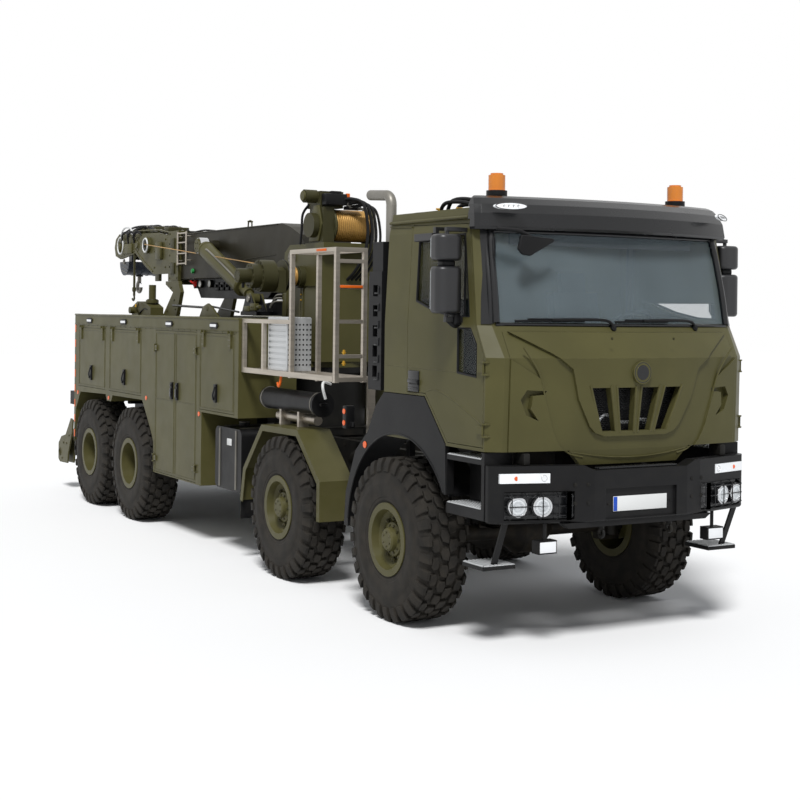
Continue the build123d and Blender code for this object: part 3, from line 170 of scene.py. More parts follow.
OLIVE = (75, 72, 42)
M = {
    "olive": surface("olive_paint", OLIVE, 0.40, patch=0.06, dust=0.12, wear=0.30, bump=0.06, bump_scale=160),
    "olive_dark": surface("olive_shadow_paint", (56, 54, 32), 0.45, patch=0.08, dust=0.3, wear=0.4, bump=0.06),
    "boom_black": surface("boom_dark_paint", (33, 30, 17), 0.45, patch=0.08, dust=0.12, wear=0.2, bump=0.06),
    "black": surface("black_plastic", (19, 19, 20), 0.42, patch=0.10, dust=0.12, bump=0.12, bump_scale=400,
                     dust_colour=(78, 74, 66), rounding=5),
    "black_gloss": surface("black_gloss_plastic", (15, 16, 18), 0.24, patch=0.08, bump=0.03, rounding=6, shine=0.42),
    "chassis": surface("chassis_paint", (22, 22, 21), 0.5, patch=0.15, dust=0.3, dust_colour=(84, 76, 62), wear=0.3,
                       wear_colour=(80, 76, 68)),
    "iron": surface("driveline_iron", (30, 28, 26), 0.6, metallic=0.3, patch=0.2, dust=0.3, dust_colour=(90, 80, 62),
                    bump=0.3),
    "rubber": surface("tyre_rubber", (38, 36, 33), 0.72, patch=0.14, dust=0.3, dust_colour=(66, 60, 52), bump=0.25,
                      bump_scale=260, rounding=4),
    "satin": surface("satin_black_plastic", (27, 27, 29), 0.36, patch=0.06, bump=0.05, bump_scale=400, rounding=8,
                     shine=0.5),
    "hose": surface("hose_rubber", (24, 24, 25), 0.5, patch=0.1, bump=0.15, bump_scale=500, rounding=1),
    "stainless": surface("stainless_steel", (176, 168, 156), 0.36, metallic=0.75, patch=0.07, bump=0.06,
                         stretch=(1, 1, 14), wear=0.2, wear_colour=(214, 208, 198)),
    "steel": surface("grey_steel", (126, 123, 116), 0.42, metallic=0.55, patch=0.14, bump=0.08, wear=0.3),
    "chrome": surface("chromed_rod", (205, 206, 208), 0.12, metallic=1.0, patch=0.03, bump=0.01),
    "aluminium": surface("aluminium", (196, 198, 199), 0.38, metallic=0.6, patch=0.04, bump=0.05, wear=0.2,
                         wear_colour=(230, 230, 230)),
    "interior": surface("cab_lining", (52, 53, 56), 0.75, patch=0.08, bump=0.2, bump_scale=500),
    "hook": surface("hook_block_paint", (46, 52, 62), 0.4, patch=0.08, wear=0.3, shine=0.4),
    "rope": surface("rope_wire", (176, 136, 74), 0.38, metallic=0.25, patch=0.16, bump=0.3, bump_scale=350, rounding=1),
    **{name.split("_")[0]: surface(name, colour, roughness, metallic, patch, bump=0.02)
       for name, colour, roughness, metallic, patch in (
           ("orange_paint", (214, 98, 30), 0.4, 0, 0.06), ("red_plastic", (176, 28, 22), 0.35, 0, 0.06),
           ("green_plastic", (38, 132, 66), 0.35, 0, 0.06), ("yellow_brass", (206, 158, 48), 0.35, 0.3, 0.06),
           ("blue_plastic", (36, 74, 170), 0.35, 0, 0.06), ("white_plastic", (214, 215, 214), 0.42, 0, 0.03))},
    "mirror": surface("mirror_glass", (200, 206, 210), 0.04, metallic=1.0, patch=0.02, bump=0.0),
    "glass": glass("cab_glass", (142, 158, 165), 0.20),
    "side_glass": glass("side_glass", (34, 42, 41), 0.20),
    "lens": glass("clear_lens", (226, 231, 234), 0.35),
    "amber": glass("amber_lens", (226, 132, 22), 0.90, 0.10, glow=0.03),
    "orange_lens": glass("orange_lens", (226, 92, 22), 0.95, 0.15, glow=0.1),
    "red_lens": glass("red_lens", (170, 22, 18), 0.95, 0.15),
    "white_lens": glass("white_lens", (236, 238, 240), 0.9, 0.15, glow=0.15),
}


def by_member(table):
    """A table of names by their group, turned around."""
    return {name: group for group, names in table.items() for name in names.split()}


#   look of the CAD nodes whose names start so
CAD_LOOKS = by_member({
    "olive": "rim locker cab_shell cab_door front_panel second_fenders turret boom_extension lift_barrels"
             " underlift_crossbar",
    "olive_dark": "winches", "boom_black": "boom", "glass": "windscreen", "black_gloss": "sun_visor",
    "chassis": "steering chassis_frame underlift_carriage", "iron": "driveline", "rubber": "tyre",
    "black": "bumper exhaust_stack tanks front_fenders boom_belly", "satin": "mirrors", "lens": "lamps",
    "interior": "cab_interior", "stainless": "service_frame", "aluminium": "equipment_box", "steel": "hook_block",
    "chrome": "lift_rods",
})

for name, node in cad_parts.items():
    look = max((key for key in CAD_LOOKS if name.startswith(key)), key=len)
    node.data.materials.clear()
    node.data.materials.append(M[CAD_LOOKS[look]])

# The camera

CAMERA_PLACE = Vector((-7.110, -10.331 - AXLE_ONE_Y / 1000, 2.548))
CAMERA_YAW, CAMERA_PITCH, CAMERA_ROLL = -29.517, -0.091, 0.702
FOCAL_PIXELS, PICTURE_PIXELS = 1448.58, 800
CENTRE_U, CENTRE_V = 398.04, 312.16


def make_camera():
    """A camera at the photograph's place, from its heading, tilt and roll."""
    yaw, pitch, roll = (math.radians(v) for v in (CAMERA_YAW, CAMERA_PITCH, CAMERA_ROLL))
    forward = Vector((-math.sin(yaw) * math.cos(pitch), math.cos(yaw) * math.cos(pitch), math.sin(pitch)))
    flat_right = Vector((math.cos(yaw), math.sin(yaw), 0))
    flat_up = flat_right.cross(forward)
    right = flat_right * math.cos(roll) + flat_up * math.sin(roll)
    up = -flat_right * math.sin(roll) + flat_up * math.cos(roll)
    data = bpy.data.cameras.new("camera")
    data.sensor_width = 36
    data.lens = 36 * FOCAL_PIXELS / PICTURE_PIXELS
    data.shift_x = (PICTURE_PIXELS / 2 - CENTRE_U) / PICTURE_PIXELS
    data.shift_y = (CENTRE_V - PICTURE_PIXELS / 2) / PICTURE_PIXELS
    data.clip_end = 500
    camera = placed("camera", data)
    turn = Matrix((right, up, -forward)).transposed().to_4x4()
    camera.matrix_world = Matrix.Translation(CAMERA_PLACE) @ turn
    bpy.context.scene.camera = camera


make_camera()

# Pieces

PIECES = []
ONE, BOTH = (1,), (1, -1)
AHEAD, OUT, UP = (0, -1, 0), (1, 0, 0), (0, 0, 1)


def skin(part, loops, capped=True):
    """Faces between each loop of vertices and the next, and over both ends."""
    count = len(loops[0])
    for a, b in zip(loops, loops[1:]):
        for k in range(count):
            j = (k + 1) % count
            part.faces.new((a[k], a[j], b[j], b[k]))
    if capped:
        part.faces.new(loops[0][::-1])
        part.faces.new(loops[-1])


def circle(count, radius, start=0.0):
    """Points evenly spaced around a circle."""
    angles = (start + 2 * math.pi * k / count for k in range(count))
    return [(radius * math.cos(a), radius * math.sin(a)) for a in angles]


def finished(mesh, look, smooth):
    """Gives a mesh its look and shades it smooth up to an angle in degrees."""
    for polygon in mesh.polygons:
        polygon.use_smooth = True
    mesh.set_sharp_from_angle(angle=math.radians(smooth))
    mesh.materials.append(M[look])


def on_sides(form):
    """Makes a form once for each sign of x that its piece has."""
    def made(self, *values):
        for self.sign in self.signs:
            form(self, *values)
    return made


class Piece:
    """A mesh piece that gathers simple forms and then rides on a body. Rows of values may come by the form's name."""

    def __init__(self, name, body, look, signs=ONE, smooth=35, **forms):
        self.name, self.body, self.look, self.signs, self.smooth = name, body, look, signs, smooth
        self.bm = bmesh.new()
        self.span = None
        PIECES.append(self)
        for form, rows in forms.items():
            for row in rows:
                getattr(self, form)(*row)

    def at(self, x, y, z):
        """A point in metres, on the side that is being made."""
        return at(self.sign * x, y, z)

    def keep(self, part, bevel=0.0, segments=2):
        """Bevels a form and adds it to the piece."""
        bmesh.ops.recalc_face_normals(part, faces=part.faces[:])
        if bevel:
            bmesh.ops.bevel(
                part, geom=part.edges[:], offset=bevel / 1000, segments=segments, affect="EDGES",
                clamp_overlap=True, profile=0.5,
            )
        mesh = bpy.data.meshes.new("part")
        part.to_mesh(mesh)
        part.free()
        self.bm.from_mesh(mesh)
        bpy.data.meshes.remove(mesh)

    @on_sides
    def box(self, x0, x1, y0, y1, z0, z1, bevel=3, segments=2):
        """A bevelled box between six limits."""
        part = bmesh.new()
        a, b = self.at(x0, y0, z0), self.at(x1, y1, z1)
        size = [abs(v) for v in b - a]
        bmesh.ops.create_cube(part, size=1, matrix=Matrix.Translation((a + b) / 2) @ Matrix.Diagonal((*size, 1)))
        self.keep(part, min(bevel, min(size) * 1000 * 0.45), segments)

    @on_sides
    def prism(self, points, axis, lo, hi, bevel=3, segments=2):
        """A bevelled plate: a closed outline in the plane across an axis, between two limits."""
        part = bmesh.new()
        loops = []
        for c in (lo, hi):
            put = {"x": lambda a, b: (c, a, b), "y": lambda a, b: (a, c, b), "z": lambda a, b: (a, b, c)}[axis]
            loops.append([part.verts.new(self.at(*put(a, b))) for a, b in points])
        skin(part, loops)
        self.keep(part, bevel, segments)

    @on_sides
    def loft(self, loops, split=False):
        """A closed form through loops of points, split into triangles where they aren't flat."""
        part = bmesh.new()
        skin(part, [[part.verts.new(self.at(*p)) for p in loop] for loop in loops])
        if split:
            bmesh.ops.triangulate(part, faces=part.faces[:])
        self.keep(part)

    @on_sides
    def rod(self, a, b, radius, sides=24, bevel=0.0, end=None):
        """A round bar between two points, or a cone to another radius."""
        start, stop = self.at(*a), self.at(*b)
        part = bmesh.new()
        bmesh.ops.create_cone(
            part, cap_ends=True, segments=sides, radius1=radius / 1000, radius2=(end or radius) / 1000,
            depth=(stop - start).length,
        )
        if bevel:
            caps = [e for e in part.edges if abs(e.verts[0].co.z - e.verts[1].co.z) < 1e-7]
            bmesh.ops.bevel(part, geom=caps, offset=bevel / 1000, segments=2, affect="EDGES", clamp_overlap=True)
        turn = (stop - start).to_track_quat("Z", "Y").to_matrix().to_4x4()
        bmesh.ops.transform(part, matrix=Matrix.Translation((start + stop) / 2) @ turn, verts=part.verts[:])
        self.keep(part)

    def rod_x(self, x0, x1, y, z, *values):
        """A rod along x."""
        self.rod((x0, y, z), (x1, y, z), *values)

    def rod_y(self, x, y0, y1, z, *values):
        """A rod along y."""
        self.rod((x, y0, z), (x, y1, z), *values)

    def rod_z(self, x, y, z0, z1, *values):
        """A rod along z."""
        self.rod((x, y, z0), (x, y, z1), *values)

    def bolt(self, place, normal, radius=9, height=7):
        """A hexagonal bolt head on its washer."""
        foot, n = Vector(place), Vector(normal).normalized()
        self.rod(foot - n, foot + n * 2, radius * 1.35, 16)
        self.rod(foot + n * 2, foot + n * height, radius, 6, 0.8)

    def bolts_x(self, x, y, z, offsets, radius, height):
        """Bolts that face along x, away from the middle, at (y, z) offsets from a point."""
        for dy, dz in offsets:
            self.bolt((x, y + dy, z + dz), (math.copysign(1, x), 0, 0), radius, height)

    @on_sides
    def ring(self, centre, axis, radius, thickness, sides=32, tube=8):
        """A torus about an axis."""
        part = bmesh.new()
        direction = Vector((self.sign * axis[0], axis[1], axis[2]))
        turn = direction.normalized().to_track_quat("Z", "Y").to_matrix()
        middle = self.at(*centre)
        section = circle(tube, thickness)
        loops = [
            [part.verts.new(middle + turn @ Vector(((radius + c) * u, (radius + c) * v, d)) / 1000) for c, d in section]
            for u, v in circle(sides, 1)
        ]
        skin(part, [*loops, loops[0]], False)
        self.keep(part)

    def tube(self, points, radius, sides=10, steps=8):
        """A round hose or pipe along a smooth line through points."""
        self.wire(points, radius, sides, steps)

    @on_sides
    def wire(self, points, radius, sides=8, steps=1):
        """A round bar or wire along straight lines between points, or a smooth line in so many steps."""
        line = spline_line([self.at(*p) for p in points], steps)
        part = bmesh.new()
        loops = []
        normal = None
        for before, p, after in zip([line[0], *line], line, [*line[1:], line[-1]]):
            along = (after - before).normalized()
            if normal is None:
                normal = along.orthogonal().normalized()
            normal = (normal - along * normal.dot(along)).normalized()
            other = along.cross(normal)
            loops.append([part.verts.new(p + (normal * c + other * d) / 1000) for c, d in circle(sides, radius)])
        skin(part, loops)
        self.keep(part)

    def done(self):
        """Makes the object and hangs it on its body; a piece with a span is baked in place and hangs on nothing."""
        mesh = bpy.data.meshes.new(self.name)
        self.bm.to_mesh(mesh)
        self.bm.free()
        finished(mesh, self.look, self.smooth)
        piece = placed(self.name, mesh)
        if self.span:
            other, start, end = self.span
            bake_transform(piece)
            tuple(start)
            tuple(end)
        else:
            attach(piece, self.body)


def spline_line(points, steps):
    """Points on a smooth line through the given ones."""
    if len(points) < 3:
        return points
    line = []
    for p0, p1, p2, p3 in zip([points[0], *points], points, points[1:], [*points[2:], points[-1]]):
        for t in (k / steps for k in range(steps)):
            line.append(0.5 * (
                2 * p1 + (p2 - p0) * t + (2 * p0 - 5 * p1 + 4 * p2 - p3) * t * t
                + (3 * p1 - p0 - 3 * p2 + p3) * t ** 3
            ))
    return line + [points[-1]]


# Faces of carried-over nodes that are another colour

#         name, front and rear y, bottom and top z, and the edge that it hangs by
DOORS = (
    ("front_flap", 3290, 4235, 1462, 2278, "top"),
    ("front_leaf", 4322, 4960, 660, 2278, "front"),
    ("rear_leaf", 4965, 5600, 660, 2278, "rear"),
    ("middle_flap", 6085, 7262, 1496, 2262, "top"),
    ("rear_flap", 7424, 8530, 1496, 2262, "top"),
)
FAR = 9e9
ANY = (-FAR, FAR)
FRONT_ONLY = (-2000, 0)


def latch_place(y0, y1, hung):
    """The y of a locker door's latch."""
    return {"top": (y0 + y1) / 2, "front": y1 - 80, "rear": y0 + 80}[hung]


def paint(node, look, x=ANY, y=ANY, z=ANY):
    """Gives the faces of a CAD node whose middles lie between limits another look."""
    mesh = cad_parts[node].data
    mesh.materials.append(M[look])
    slot = len(mesh.materials) - 1
    for polygon in mesh.polygons:
        c = polygon.center * 1000
        if x[0] < c.x < x[1] and y[0] < c.y + AXLE_ONE_Y < y[1] and z[0] < c.z < z[1]:
            polygon.material_index = slot


paint("lamps", "chassis", y=(8000, FAR))
paint("lamps", "red_lens", x=(-1240, 1240), y=(9126, FAR))
paint("lamps", "black", z=(3330, 3479))
paint("lamps", "amber", z=(3479, FAR))
paint("lamps", "white_lens", y=FRONT_ONLY, z=(1270, 1350))
paint("lamps", "black_gloss", y=FRONT_ONLY, z=(1000, 1210))
paint("lamps", "black", y=FRONT_ONLY, z=(740, 972))
paint("exhaust_stack", "steel", z=(3121, FAR))
paint("tanks", "stainless", y=(1840, 2710), z=(1400, 1552))
paint("turret", "black", y=(4260, 6000), z=(2400, 2640))
paint("hook_block", "hook", z=(2990, 3400))
paint("boom", "olive", y=(7390, 7830))
for side, s in SIDES:
    for name, y0, y1, z0, z1, hung in DOORS:
        y, z = latch_place(y0, y1, hung), z0 + 190 if hung == "top" else 1610
        limits = sorted((s * 1300.5, s * 1330))
        paint(f"locker_{name}_{side}", "black", x=limits, y=(y - 30, y + 30), z=(z - 97, z + 97))
    paint(f"cab_door_{side}", "black", x=sorted((s * 1250.5, s * 1275)), y=(-347, -213), z=(1948, 1992))


# Tyres: a carcass with ringed walls, four staggered rows of blocks and stepped shoulder lugs

#          half section as (x, radius)
CARCASS = (
    (190, 262), (191, 300), (197, 318), (201, 322), (203, 345), (207, 350), (208, 372), (212, 400), (214.5, 440),
    (212, 482), (210, 486), (209, 505), (204, 540), (196, 572), (186, 606), (172, 628), (150, 639), (75, 643), (0, 644),
)
CARCASS_STEPS = 120
PITCHES = 30
#                arc along the tread and x of each corner of a block
CENTRE_BLOCK = ((-56, 6), (-40, 62), (10, 80), (56, 66), (48, 8), (0, -4))
MIDDLE_BLOCK = ((-46, 94), (-52, 140), (-30, 152), (44, 150), (52, 104), (4, 88))
#              section of a lug as (x, radius), over the shoulder and down the wall
LUG_SECTION = (
    (160, 634), (160, 669.5), (184, 667), (196, 640), (204, 622), (212, 585), (213.5, 560), (202, 552), (186, 600),
)


def wheel_mesh(name, sign):
    """One tyre about the origin; its outer face looks along +x times the sign."""
    part = bmesh.new()

    def spot(arc, x, r, start=0.0):
        a = start + arc / WHEEL_Z
        return part.verts.new((x / 1000, r * math.sin(a) / 1000, r * math.cos(a) / 1000))

    half = [*CARCASS, *[(-x, r) for x, r in CARCASS[-2::-1]]]
    turns = [2 * math.pi * i / CARCASS_STEPS for i in range(CARCASS_STEPS)]
    rings = [[spot(0, x, r, a) for x, r in half] for a in turns]
    skin(part, [*rings, rings[0]], False)

    def block(outline, start, side, low, high, chamfer=5.0):
        """A tread block with chamfered edges."""
        middle_arc, middle_x = (sum(p[i] for p in outline) / len(outline) for i in (0, 1))
        loops = []
        for inset, r in ((0.0, low), (chamfer * 0.35, high - chamfer * 0.7), (chamfer * 1.4, high)):
            loop = []
            for arc, x in outline:
                da, dx = middle_arc - arc, middle_x - x
                share = inset / math.hypot(da, dx)
                loop.append(spot(arc + da * share, side * (x + dx * share), r, start))
            loops.append(loop)
        skin(part, loops, False)
        part.faces.new(loops[-1])

    pitch = 2 * math.pi / PITCHES
    for i in range(PITCHES):
        for side in BOTH:
            start = i * pitch + (0.25 if side > 0 else 0.75) * pitch
            block(CENTRE_BLOCK, start, side, 638, 671.2)
            block(MIDDLE_BLOCK, start + pitch / 2, side, 636, 670.6)
            skin(part, [
                [spot(arc, side * (x - grow * 0.5), r - grow, start + 0.8 * pitch) for x, r in LUG_SECTION]
                for arc, grow in ((-43, 4.0), (-40, 0.0), (34, 0.0), (37, 4.0))
            ])
    bmesh.ops.recalc_face_normals(part, faces=part.faces[:])
    if sign < 0:
        bmesh.ops.scale(part, vec=(-1, 1, 1), verts=part.verts[:])
        bmesh.ops.reverse_faces(part, faces=part.faces[:])
    mesh = bpy.data.meshes.new(name)
    part.to_mesh(mesh)
    part.free()
    finished(mesh, "rubber", 28)
    return mesh


for side, s in SIDES:
    tread = wheel_mesh(f"tread_{side}", s)
    for number, axle_y in enumerate(AXLES, 1):
        tyre = placed(f"tread_tyre_{number}_{side}", tread)
        tyre.location = at(s * WHEEL_X, axle_y, WHEEL_Z)
        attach(tyre, f"wheel_{number}_{side}")
        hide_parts(f"tyre_{number}_{side}")

# Nuts, hub bolts and valve on every rim
for number, axle_y in enumerate(AXLES, 1):
    face, hub = (112, 200) if number < 3 else (-70, 75)
    face, hub = face + WHEEL_X, hub + WHEEL_X
    for side, s in SIDES:
        nuts = Piece(f"wheel_nuts_{number}_{side}", f"wheel_{number}_{side}", "olive_dark", (s,))
        for dz, dy in circle(10, 167):
            y, z = axle_y + dy, WHEEL_Z + dz
            nuts.rod_x(face, face + 5, y, z, 25, 16)
            nuts.rod_x(face + 5, face + 27, y, z, 19, 6, 1.5, 17)
            nuts.rod_x(face + 27, face + 36, y, z, 10, 10, 1, 9)
        nuts.bolts_x(face + 38, axle_y, WHEEL_Z, [(d, c) for c, d in circle(10, 112, math.pi / 10)], 9, 8)
        nuts.bolts_x(hub, axle_y, WHEEL_Z, [(d, c) for c, d in circle(6, 58)], 7, 6)
        nuts.rod((face + 20, axle_y - 205, WHEEL_Z + 85), (face + 62, axle_y - 212, WHEEL_Z + 88), 5, 8)

# Cab: side windows, their seals, creases and handles

#              outlines as (y, z)
SIDE_WINDOW = ((-256, 2620), (-256, 3140), (-960, 3140), (-1075, 2500), (-800, 2500), (-520, 2545))
QUARTER_WINDOW = ((-905, 2070), (-905, 2420), (-1095, 2420), (-1185, 2300), (-1185, 2045))


def side_line(outline, out=0):
    """Points on the cab's side, whose half width narrows above the waist, from (y, z) pairs."""
    return [(1250 - max(0, z - 2440) * 0.048 + out, y, z) for y, z in outline]


def inward(outline, distance):
    """An outline drawn toward its middle."""
    cy, cz = (sum(p[i] for p in outline) / len(outline) for i in (0, 1))
    shares = [distance / math.hypot(cy - y, cz - z) for y, z in outline]
    return [(y + (cy - y) * share, z + (cz - z) * share) for (y, z), share in zip(outline, shares)]


for side, s in SIDES:
    door = f"cab_door_{side}"
    panes = Piece(f"side_panes_{side}", door, "side_glass", (s,))
    seals = Piece(f"window_seals_{side}", door, "black", (s,))
    for window in (SIDE_WINDOW, QUARTER_WINDOW):
        panes.loft([side_line(inward(window, -2), -depth) for depth in (21, 16)], True)
        edge = inward(window, 6)
        seals.wire(side_line([*edge, edge[0]], -7), 11)
    seals.wire(side_line(((-985, 2500), (-945, 3140)), -10), 9, 6)
    creases = Piece(
        f"door_creases_{side}", door, "olive", (s,), wire=[(side_line(((-150, 2087), (-890, 2078)), -2.5), 5)],
        tube=[(side_line(((-440, 1904), (-560, 1925), (-700, 1905), (-900, 1845), (-1270, 1700)), -2.5), 6, 8, 5)])
    Piece(f"door_handle_{side}", door, "black_gloss", (s,), box=[
        (1245, 1262, -340, -172, 1892, 2062, 22, 3), (1258, 1276, -330, -182, 1962, 1992, 7),
        (1258, 1268, -330, -182, 1912, 1930, 4)])
    Piece(f"cab_crease_{side}", "truck", "olive", (s,), wire=[
        (side_line(((-128, 2087), (232, 2092)), -2.5), 5), (side_line(((-128, 3222), (236, 3238)), -3), 6)])

# Mirrors' glass, the brackets and the look-down mirrors
for side, s in SIDES:
    door = f"cab_door_{side}"
    Piece(f"mirror_glass_{side}", door, "mirror", (s,), box=[
        (1305, 1470, -862, -857, z0, z1, 2) for z0, z1 in ((2952, 3098), (2556, 2850))])
    Piece(
        f"mirror_necks_{side}", door, "black", (s,), rod_x=[(1258, 1385, -962, 3165, 18)],
        tube=[([(1262, -960, 2455), (1310, -965, 2430), (1370, -960, 2470)], 17, 12)],
        box=[
            (1330, 1440, -1000, -905, 2878, 2930, 16, 3), (1275, 1335, -1005, -925, 2440, 2530, 16, 3),
            (1304, 1428, -806, -544, 3080, 3086, 2)])
Piece(
    "look_down_mirror", "truck", "black", rod_z=[(-1120, -1215, 2960, 3100, 7, 10)],
    tube=[([(-1150, -1285, 3165), (-1000, -1350, 3150), (-905, -1385, 3095)], 17, 12)],
    prism=[([(-1010, 3118), (-720, 3100), (-700, 3080), (-930, 2960), (-1000, 2972), (-1040, 3010)],
            "y", -1412, -1385, 9, 3)])
Piece("inside_mirror", "truck", "black", rod_y=[(-1075, -1095, -1075, 3020, 46, 24, 6)],
      tube=[([(-1075, -1085, 3040), (-1050, -1080, 3120), (-1020, -1070, 3165)], 7, 8)])

# Windscreen surround, pillars and wipers
PILLAR_BAND = ((1162, -1250, 2448), (1226, -1199, 2448), (1196, -1150, 2700), (1166, -1062, 3168), (1122, -1100, 3168))
SCREEN_FOOT_Y = -1398
SCREEN_BOW = 1.13e-4
surround = Piece(
    "screen_surround", "truck", "black_gloss", BOTH,
    loft=[([[(x + out * 0.62, y - out * 0.78, z) for x, y, z in PILLAR_BAND] for out in (1.0, 7.0)],)],
    tube=[([(1128, -1262, 2462), (1122, -1222, 2700), (1108, -1152, 3000), (1090, -1112, 3160)], 26, 12),
          ([(1160, -1240, 2452), (1150, -1200, 2700), (1130, -1120, 3000), (1112, -1082, 3168)], 20)])
surround.signs = ONE
surround.tube([(x, SCREEN_FOOT_Y + SCREEN_BOW * x * x, 2448) for x in range(-1130, 1131, 113)], 14, 10, 3)
surround.tube([(x, -1213 + 0.93e-4 * x * x, 3158) for x in range(-1080, 1081, 108)], 18, 10, 3)


def on_screen(x, z, out):
    """A point ahead of the windscreen by a distance."""
    return (x, SCREEN_FOOT_Y + SCREEN_BOW * x * x + (z - 2440) * 0.25 - out, z)


wipers = Piece("wipers", "truck", "black")
#   both ends of the blade, then of the arm, as x, z
for x0, z0, x1, z1, u0, v0, u1, v1 in (
    (-982, 2476, -400, 2480, -690, 2486, -149, 2428), (-121, 2475, 417, 2478, 150, 2486, 717, 2432),
):
    for rise, out, radius, stations in ((0, 12, 8, range(7)), (14, 22, 6, range(1, 6))):
        shares = [t / 6 for t in stations]
        wipers.tube([on_screen(x0 + (x1 - x0) * t, z0 + rise + (z1 - z0) * t, out) for t in shares], radius, 8)
    wipers.tube([on_screen(u0, v0, 26), on_screen((u0 + u1) / 2, v0 + 4, 36), on_screen(u1 - 60, v0 - 4, 34),
                 on_screen(u1, v1, 22)], 12)
    wipers.rod(on_screen(u1, v1, 30), on_screen(u1, v1, 4), 24, 24, 4)


# Visor: lamps and their rims
def on_visor(x, z, out):
    """A point ahead of the visor's sloping corner by a distance."""
    return (x, -1370 + (x - 930) * 0.62 + (z - 3335) * 0.75 - out, z)


VISOR_LENS = [(1038 + c, 3335 + d * 0.27) for c, d in circle(20, 100)]
Piece("visor_lamps", "truck", "white_lens", BOTH,
      loft=[([[on_visor(x, z, out) for x, z in VISOR_LENS] for out in (-30, 8)],)])
Piece("visor_lamp_rims", "truck", "black_gloss", BOTH,
      wire=[([on_visor(x, z, 8) for x, z in [*VISOR_LENS, VISOR_LENS[0]]], 4, 6)],
      ring=[(on_visor(x, 3335, 9), (0, -1, 0.3), 9, 2, 16, 6) for x in (993, 1023, 1053, 1083)])

# Roof: gutter, hoses and fittings at the rear
Piece("roof_hoses", "truck", "hose", tube=[
    ([(x, 190, 3352), (x - 20, 60, 3352 + lift), (x + 40, -180, 3345 + lift), (x + 90, -430, 3356)], 17)
    for x, lift in ((-760, 95), (-690, 120), (-610, 80))])
ROOF_FITTINGS = ((-790, 150), (-720, -60), (-630, -300), (-560, -120))
Piece("roof_fittings", "truck", "yellow", rod_z=[(x, y, 3338, 3400, 11, 10) for x, y in ROOF_FITTINGS],
      rod_x=[(x - 26, x + 26, y, 3402, 9, 8) for x, y in ROOF_FITTINGS])
Piece("roof_hatch", "truck", "olive_dark",
      prism=[([(-1010, 200), (-420, 200), (-420, -520), (-960, -420)], "z", 3336, 3366, 14, 3)])
Piece("roof_gutter", "truck", "olive", BOTH,
      tube=[([(1214, -985, 3262), (1212, -500, 3266), (1212, 230, 3266)], 13, 8)])


# Front panel: fine ridges, bolts, badge ring, grille mesh and its dark bay
def front_y(x, z):
    """The y of the cab's front face at a point below the windscreen."""
    return -1480 - (z - 1500) * 0.1143 + 1.0e-4 * x * x


OUTER_RIDGE = ((1018, 2278), (866, 2063), (784, 1775), (711, 1601), (585, 1481), (459, 1447))
LOWER_SEAM = [(x, 1435 + 55 * (x / 580) ** 2) for x in range(-580, 581, 145)]
lines = Piece("front_ridges", "truck", "olive", BOTH,
              tube=[([(x, front_y(x, z) - 1, z) for x, z in OUTER_RIDGE], 7, 8, 6)])
lines.signs = ONE
lines.tube([(x, front_y(x, z) - 2, z) for x, z in LOWER_SEAM], 5, 8, 4)
Piece("bare_badge_ring", "truck", "black_gloss", ring=[((0, -1592, 2090), (0, 1, 0), 76, 7, 40, 10)],
      rod_y=[(0, -1590, -1599, 2090, 58, 40, 1)])
Piece("front_panel_bolts", "truck", "olive_dark", BOTH, bolt=[((300, front_y(300, 2350) - 26, 2350), AHEAD, 8, 6)])
GRILLE_BOTTOM_Z = 1640
GRILLE_LEFTS = (-455, -220, 15, 250)
GRILLE_WIDTH = 185
MESH_CELL = 17.0


def grille_x(x, share):
    """An x of the grille's top, drawn in toward the bottom, at a share of the height."""
    return x * (0.7 + 0.3 * share)


mesh = Piece("grille_mesh", "truck", "black_gloss", smooth=20)
for left in GRILLE_LEFTS:
    for row in range(22):
        z = GRILLE_BOTTOM_Z + row * MESH_CELL * 0.93
        x0, x1 = (grille_x(x, (z - GRILLE_BOTTOM_Z) / 335) for x in (left, left + GRILLE_WIDTH))
        steps = int((x1 - x0) / (MESH_CELL * 0.866)) + 1
        zigzag = [(x0 + (x1 - x0) * k / steps, 0.27 if (k + row) % 2 else -0.27) for k in range(steps + 1)]
        mesh.wire([(x, front_y(x, z) + 40, z + MESH_CELL * lift) for x, lift in zigzag], 2.6, 4)
Piece("grille_bay", "truck", "black", rod_x=[(-180, 180, -1400, 1760, 26)],
      box=[(-480, 480, -1392, -1372, 1560, 2060, 4), (-120, 120, -1430, -1392, 1850, 1960, 10)])
Piece("grille_bay_pipes", "truck", "aluminium",
      rod_y=[(x, -1400, -1432, 1700, 22, 24, 3) for x in (-300, -120, 170, 260)],
      tube=[([(-330, -1425, 1660), (-240, -1440, 1760), (-60, -1435, 1700), (120, -1440, 1720),
              (240, -1430, 1690)], 13)])
Piece("grille_ribs", "truck", "olive", wire=[
    ([(grille_x(x, t), front_y(x, 1630 + 375 * t) - 24, 1630 + 360 * t) for t in (0, 0.25, 0.5, 0.75, 1)], 11)
    for left in GRILLE_LEFTS for x in (left, left + GRILLE_WIDTH)])


# Bumper: bolts, lamp guards, indicators' orange centres, bare plate, fog lamps, tread plates
def on_bumper(x, depth, z):
    """A point at a depth behind the bumper's angled face, no farther ahead than the truck's foremost line."""
    return (x, max(-1593, -1420 + (x - 1180) * (158 / 580) + depth), z)


